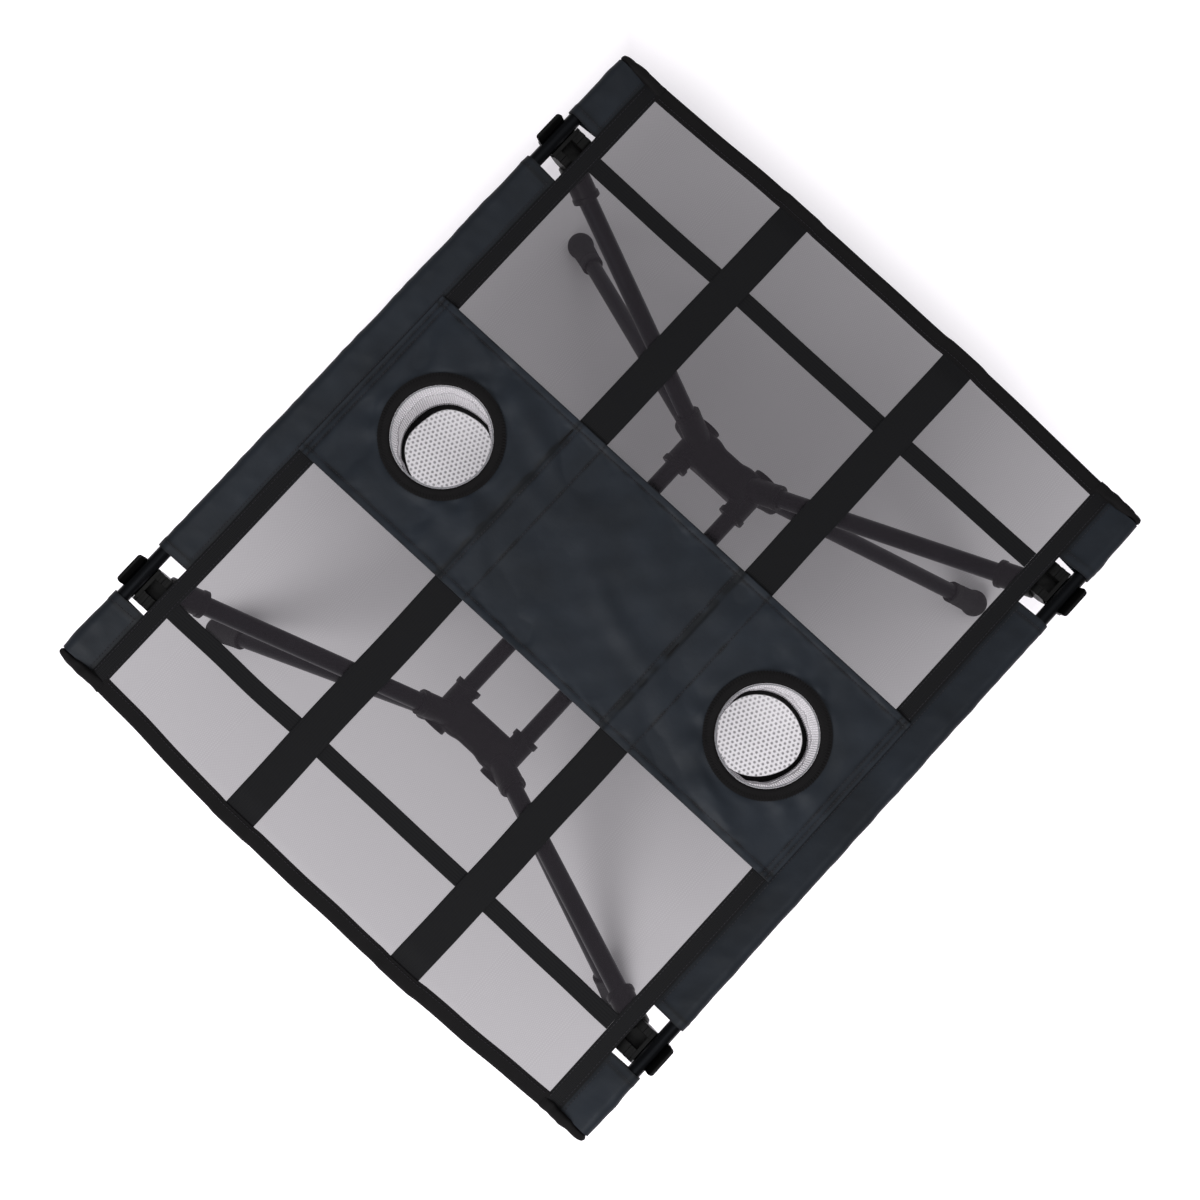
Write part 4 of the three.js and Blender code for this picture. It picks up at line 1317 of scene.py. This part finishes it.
class CAMPTABLE_OT_straps(bpy.types.Operator):
    """Make the wide and narrow straps and the tapes that bind the mesh to the sleeves."""

    bl_idname = "camp_table.straps"
    bl_label = "Straps and tapes"

    def execute(self, context):
        for side in SIDES:
            self.lay_strap(f"wide_strap_{side}", X_AXIS, 220, [])
            self.lay_strap(f"side_tape_{side}", X_AXIS, 220, [self.sew_tape(side)])
        for end in ENDS:
            self.lay_strap(f"narrow_strap_{end}", Y_AXIS, 160, [])
        return {"FINISHED"}

    def lay_strap(self, node, direction, steps, sewn):
        """Lays a strip along the node's long way, with a slight waviness and a lower lie at each crossing."""
        low, high = (np.array(corner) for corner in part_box(node))
        middle = (low + high) / 2
        across = np.abs(np.cross(direction, UP))
        half = (high - low) @ direction / 2
        if direction is X_AXIS:
            half = STRAP_END_X
        places = np.linspace(-half, half, steps)
        path = middle + places[:, None] * direction
        path = path + across * (0.5 * MM * ripples(places, places * 0, 90 * MM, len(node)))[:, None]
        if direction is X_AXIS:
            tucked = smooth_step(np.abs(places), BINDING_INNER_X - 16 * MM, BINDING_INNER_X)
            path[:, 2] -= tucked * (middle[2] - ROD_Z - 0.9 * MM)
        shell = strip(path, (high - low) @ across, high[2] - low[2], across)
        strap = piece(f"{node}_webbing", [shell], woven_webbing, "top", [node])

    def sew_tape(self, side):
        """Two rows of stitches along a tape, outside the centre band."""
        middle, thickness = node_layer(f"side_tape_{side}")
        top = middle + thickness / 2
        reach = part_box(f"side_tape_{side}")[1].x - 1 * MM
        lines = []
        for y in (SEAM_INNER_Y + 2 * MM, SEAM_OUTER_Y - 2 * MM):
            for sign in (1, -1):
                span = (sign * (BAND_HALF_WIDTH + 1 * MM), sign * reach)
                y_side = SIGN[side] * y
                lines.append(line_on(lambda x, y: top + settle(x, y), span, (y_side, y_side)))
        name = f"side_tape_{side}_stitches"
        return piece(name, [stitches(lines)], sewing_thread, "top")


class CAMPTABLE_OT_bindings(bpy.types.Operator):
    """Make the folded end bindings and the bulky folds at the four corners."""

    bl_idname = "camp_table.bindings"
    bl_label = "End bindings"

    def execute(self, context):
        for end in ENDS:
            folds = [self.corner(side, end) for side in SIDES]
            node = f"end_binding_{end}"
            shell = self.edge(end)
            binding = piece(f"{node}_tape", [shell], ribbed_binding, "top", [node])
            thread_name = f"{node}_stitches"
            thread = piece(thread_name, [self.sew(end)], sewing_thread, "top")
        return {"FINISHED"}

    def edge(self, end):
        """The folded tape carried along the end of the table."""
        reach = SEAM_INNER_Y + 2 * MM
        ys = np.linspace(-reach, reach, 180)
        middle, _ = node_layer(f"end_binding_{end}")
        path = np.stack([SIGN[end] * end_edge(ys, end), ys, np.full(180, middle)], -1)
        section = folded_section(BINDING_WIDTH, BINDING_HALF_HEIGHT, TAPE_THICKNESS)
        points = laid(carried(section, path, SIGN[end] * X_AXIS))
        swell = 1 + 0.7 * over_strap(ys)
        centre = points[..., 2].mean(1, keepdims=True)
        points[..., 2] = centre + (points[..., 2] - centre) * swell[:, None]
        return grid(points, close_columns=True, capped=True)

    def sew(self, end):
        """A row of stitches along the binding's inner edge."""
        ys = np.linspace(-SEAM_INNER_Y + 2 * MM, SEAM_INNER_Y - 2 * MM, 240)
        xs = SIGN[end] * (end_edge(ys, end) - 11.5 * MM)
        middle, _ = node_layer(f"end_binding_{end}")
        heights = middle + 1.9 * MM * (1 + 0.7 * over_strap(ys)) + settle(xs, ys)
        return stitches([np.stack([xs, ys, heights], -1)])

    def corner(self, side, end):
        """The binding folded over the sleeve's end: a soft lump that tapers to the outside, with creases."""
        node = f"corner_fold_{side}_{end}"
        low, high = (np.array(corner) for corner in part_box(node))
        middle, half = (low + high) / 2, (high - low) / 2 + np.array([0.4, 0, 0.4]) * MM
        share = np.linspace(-1, 1, 36)
        angle = full_turn(40)
        square = 0.62
        section_x = np.sign(np.cos(angle)) * np.abs(np.cos(angle)) ** square
        section_z = np.sign(np.sin(angle)) * np.abs(np.sin(angle)) ** square
        outward = share * SIGN[side]
        flatten = 0.34 + 0.66 * smooth_step(outward, -1.0, -0.1) - 0.25 * smooth_step(outward, 0.2, 0.9)
        close = np.sqrt(np.clip(1 - np.clip((outward - 0.72) / 0.28, 0, 0.995) ** 2, 0, 1))
        narrow = 1 - 0.3 * smooth_step(outward, -0.2, 0.9)[:, None]
        x = middle[0] + half[0] * section_x * narrow * close[:, None] ** 0.5
        y = np.broadcast_to(middle[1] + half[1] * share[:, None], x.shape)
        z = middle[2] + half[2] * section_z * (flatten * close)[:, None]
        points = np.stack([x, y, z], -1)
        creased = 0.5 * MM * ripples(y + x * 0.7, z * 2, 11 * MM, 7 + SIGN[side] + 2 * SIGN[end])
        spoke = np.stack([section_x * np.ones_like(x), np.zeros_like(x), section_z * np.ones_like(x)], -1)
        points = points + spoke * creased[..., None]
        shell = grid(points, close_columns=True, capped=True)
        return piece(f"{node}_tape", [shell], ribbed_binding, "top", [node])


class CAMPTABLE_OT_mesh(bpy.types.Operator):
    """Make the two fine mesh panels."""

    bl_idname = "camp_table.mesh"
    bl_label = "Mesh panels"

    def execute(self, context):
        for end in ENDS:
            node = f"mesh_panel_{end}"
            low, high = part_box(node)
            inner, outer = min(abs(low.x), abs(high.x)), STRAP_END_X
            by_hole = np.linspace(inner, HOLE_SQUARE, 16, endpoint=False)
            xs = np.concatenate([by_hole, np.linspace(HOLE_SQUARE, outer, 100)])
            reach = high.y + MESH_TUCK
            x, y, kept = holed_grid(xs, band_rows(reach, 4 * MM))
            x = x * SIGN[end]
            edges = smooth_step(np.abs(y), 0, high.y) * 0.5 + 0.5
            ripple = sizes().mesh_ripple * ripples(x, y, 70 * MM, 30 + SIGN[end]) * edges
            ripple = np.minimum(ripple, 0.25 * MM)
            points = np.stack([x, y, (low.z + high.z) / 2 + settle(x, y) + ripple], -1)
            shell = grid(points, kept=kept)
            panel = piece(f"{node}_cloth", [shell], window_mesh, "top", [node], SMOOTH)
        return {"FINISHED"}


class CAMPTABLE_OT_band(bpy.types.Operator):
    """Make the navy centre band: one sheet whose long edges are folded under as hems, and its stitches."""

    bl_idname = "camp_table.band"
    bl_label = "Centre band"

    def execute(self, context):
        outer = [np.linspace(HOLE_SQUARE, 84 * MM, 36), np.linspace(84.4, 87.6, 9) * MM, [94 * MM]]
        outer = np.concatenate(outer)
        xs = np.concatenate([-outer[::-1], np.linspace(-HOLE_SQUARE, HOLE_SQUARE, 60)[1:-1], outer])
        reach = SEAM_OUTER_Y + 1.5 * MM
        x, y, kept = holed_grid(xs, band_rows(reach, 1.4 * MM))
        past = np.abs(x) - BAND_HALF_WIDTH
        x = np.where(past > 0, np.sign(x) * (BAND_HALF_WIDTH - past), x)
        under = 1 * MM * smooth_step(past, -0.7 * MM, 0.7 * MM)
        shell = grid(np.stack([x, y, band_top(x, y) - under], -1), kept=kept)
        name = "centre_band_cloth"
        band = piece(name, [shell], navy_polyester, "top", ["centre_band"], SMOOTH, band_seam_shade)
        sewn = stitches(self.sewn_lines())
        thread = piece("centre_band_stitches", [sewn], sewing_thread, "top")
        return {"FINISHED"}

    def sewn_lines(self):
        """Hems along both edges, a row by each seam and at each strap's other edge, and double end rows."""
        reach = SEAM_OUTER_Y - 1 * MM
        lines = [line_on(band_top, (x, x), (-reach, reach)) for x in (-HEM_STITCH_X, HEM_STITCH_X)]
        across = (-BAND_HALF_WIDTH + 1 * MM, BAND_HALF_WIDTH - 1 * MM)
        return lines + [line_on(band_top, across, (y, y)) for y in sewn_rows()]


class CAMPTABLE_OT_rings(bpy.types.Operator):
    """Make the bound and stitched rings of the cup holders."""

    bl_idname = "camp_table.rings"
    bl_label = "Cup rings"

    def execute(self, context):
        for side in SIDES:
            centre = np.array([0, SIGN[side] * CUP_Y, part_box(f"cup_ring_{side}")[0].z])
            seed = 50 + SIGN[side]
            node = f"cup_ring_{side}"
            tape, whipping, edge = self.tape(centre, seed), self.whipping(centre), self.piping(centre, seed)
            ring = piece(f"{node}_binding", [tape], ribbed_binding, "top", [node])
            whip = piece(f"{node}_whipping", [whipping], ribbed_binding, "top")
            # the piping's pale colour is a painted highlight along the ring's inner edge
            piping = piece(f"{node}_piping", [edge], painted_highlight_piping, "top")
        return {"FINISHED"}

    def around(self, centre, section, seed, count=140):
        """Carries a section of (radius, height) points round a cup, with a slight unevenness and the sag."""
        angle = full_turn(count)
        radius = section[None, :, 0] + ring_wave(angle, 0.5 * MM, seed)[:, None]
        x = radius * np.cos(angle)[:, None]
        y = centre[1] + radius * np.sin(angle)[:, None]
        z = centre[2] + section[None, :, 1] + settle(x, y)
        return np.stack([x, y, np.broadcast_to(z, x.shape)], -1)

    def tape(self, centre, seed):
        """The folded tape over the edge of the band's hole: a U that opens outwards."""
        section = folded_section(RING_OUTER - RING_INNER, RING_HALF_HEIGHT, TAPE_THICKNESS) * [-1, 1]
        points = self.around(centre, section + [RING_INNER, 0], seed)
        return grid(points, close_rows=True, close_columns=True)

    def whipping(self, centre):
        """Close stitches over the ring's outer edge, each lying outwards across it."""
        angle = full_turn(128)
        spoke = np.stack([np.cos(angle), np.sin(angle), np.zeros(128)], -1)
        starts = centre + (RING_OUTER - 3.4 * MM) * spoke + 2.2 * MM * UP
        ends = centre + (RING_OUTER + 0.6 * MM) * spoke + 0.4 * MM * UP
        points = threads_between(starts, ends, 0.45 * MM)
        points[..., 2] += settle(points[..., 0], points[..., 1])
        return repeated(points)

    def piping(self, centre, seed):
        """The thin rolled edge inside the ring, which carries the painted highlight."""
        section = on_circle(full_turn(12)) * 0.6 * MM + [RING_INNER - 0.5 * MM, 0.2 * MM]
        return grid(self.around(centre, section, seed), close_rows=True, close_columns=True)


def threads_between(starts, ends, thickness):
    """Short rounded threads from start points to end points, thin at their ends and arched in the middle."""
    t = np.linspace(0, 1, 5)
    angle = full_turn(6)
    direction = ends - starts
    sideways = np.cross(direction, UP)
    sideways /= np.linalg.norm(sideways, axis=1, keepdims=True)
    upwards = np.cross(sideways, direction / np.linalg.norm(direction, axis=1, keepdims=True))
    thick = thickness * np.sqrt(np.clip(1 - (2 * t - 1) ** 2, 0.06, 1))
    middle = starts[:, None] + direction[:, None] * t[None, :, None]
    middle = middle + upwards[:, None] * (thickness * np.sin(math.pi * t))[None, :, None]
    round_it = np.cos(angle)[:, None] * sideways[:, None] + np.sin(angle)[:, None] * upwards[:, None]
    return middle[:, :, None] + thick[None, :, None, None] * round_it[:, None]


class CAMPTABLE_OT_pockets(bpy.types.Operator):
    """Make the hanging mesh pockets of the cup holders."""

    bl_idname = "camp_table.pockets"
    bl_label = "Cup pockets"

    def execute(self, context):
        for side in SIDES:
            node = f"cup_pocket_{side}"
            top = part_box(node)[1].z
            centre = np.array([0, SIGN[side] * CUP_Y, top])
            seed = 60 + SIGN[side]
            side_shell = self.wall(centre, seed)
            base_shell = self.base(centre, seed)
            hoop_shell = self.hoop(centre, seed)
            name = f"{node}_wall"
            wall = piece(name, [side_shell], pocket_side_mesh, "top", [node], SMOOTH)
            base = piece(f"{node}_base", [base_shell], pocket_mesh, "top", sharp=SMOOTH)
            hoop = piece(f"{node}_hoop", [hoop_shell], ribbed_binding, "top")
        return {"FINISHED"}

    def wall(self, centre, seed):
        """The pocket's side: circles of uneven radius stacked down from the ring."""
        share, angle = np.meshgrid(np.linspace(0, 1, 32), full_turn(96), indexing="ij")
        radius = pocket_radius(angle, share, seed)
        offset = np.stack([radius * np.cos(angle), radius * np.sin(angle), -share * POCKET_DEPTH], -1)
        return grid(centre + offset, close_columns=True)

    def base(self, centre, seed):
        """The pocket's bottom: rings from its middle out to the wall's foot, with a little sag."""
        share, angle = np.meshgrid(np.linspace(0.02, 1, 20), full_turn(96), indexing="ij")
        radius = pocket_radius(angle, 1.0, seed) * share
        depth = -POCKET_DEPTH - 1.5 * MM * (1 - share**2)
        points = centre + np.stack([radius * np.cos(angle), radius * np.sin(angle), depth], -1)
        shell = grid(points, close_columns=True)
        hub = np.arange(96)[None, ::-1]
        flat = [shell.points[faces][..., :2] for faces in (*shell.polygons, hub)]
        return Shell(shell.points, [*shell.polygons, hub], flat)

    def hoop(self, centre, seed):
        """The black tape round the pocket's foot."""
        angle = full_turn(120)
        radius = pocket_radius(angle, 1.0, seed)
        section = eased([(-4.0, -2.0), (1.0, -2.4), (1.3, 2.4), (-3.1, 1.6)], 0.9, closed=True) * MM
        spoke = np.stack([np.cos(angle), np.sin(angle), np.zeros(120)], -1)
        path = centre + spoke * radius[:, None] - UP * POCKET_DEPTH
        width = 1 + ring_wave(angle, 0.42, seed + 5)
        reach = section[None, :, 0] * width[:, None]
        points = path[:, None] + reach[..., None] * spoke[:, None] + section[None, :, 1, None] * UP
        return grid(points, close_rows=True, close_columns=True)


class CAMPTABLE_PT_panel(bpy.types.Panel):
    """Lists the steps that build the table."""

    bl_idname = "CAMPTABLE_PT_panel"
    bl_label = "Camp kitchen table"
    bl_space_type = "VIEW_3D"
    bl_region_type = "UI"
    bl_category = "Camp table"

    def draw(self, context):
        for step in STEPS:
            self.layout.operator(step.bl_idname)


STEPS = (
    CAMPTABLE_OT_stage,
    CAMPTABLE_OT_poles,
    CAMPTABLE_OT_hubs,
    CAMPTABLE_OT_hooks,
    CAMPTABLE_OT_feet,
    CAMPTABLE_OT_mesh,
    CAMPTABLE_OT_sleeves,
    CAMPTABLE_OT_straps,
    CAMPTABLE_OT_bindings,
    CAMPTABLE_OT_band,
    CAMPTABLE_OT_rings,
    CAMPTABLE_OT_pockets,
)
CLASSES = (CampTableColours, CampTableSizes, CampTableStage, *STEPS, CAMPTABLE_PT_panel)


def register():
    for cls in CLASSES:
        bpy.utils.register_class(cls)
    bpy.types.Scene.camp_table_colours = PointerProperty(type=CampTableColours)
    bpy.types.Scene.camp_table_sizes = PointerProperty(type=CampTableSizes)
    bpy.types.Scene.camp_table_stage = PointerProperty(type=CampTableStage)


def unregister():
    del bpy.types.Scene.camp_table_stage
    del bpy.types.Scene.camp_table_sizes
    del bpy.types.Scene.camp_table_colours
    for cls in reversed(CLASSES):
        bpy.utils.unregister_class(cls)


def main():
    register()
    for step in STEPS:
        group, name = step.bl_idname.split(".")
        getattr(getattr(bpy.ops, group), name)()


if __name__ == "__main__":
    main()
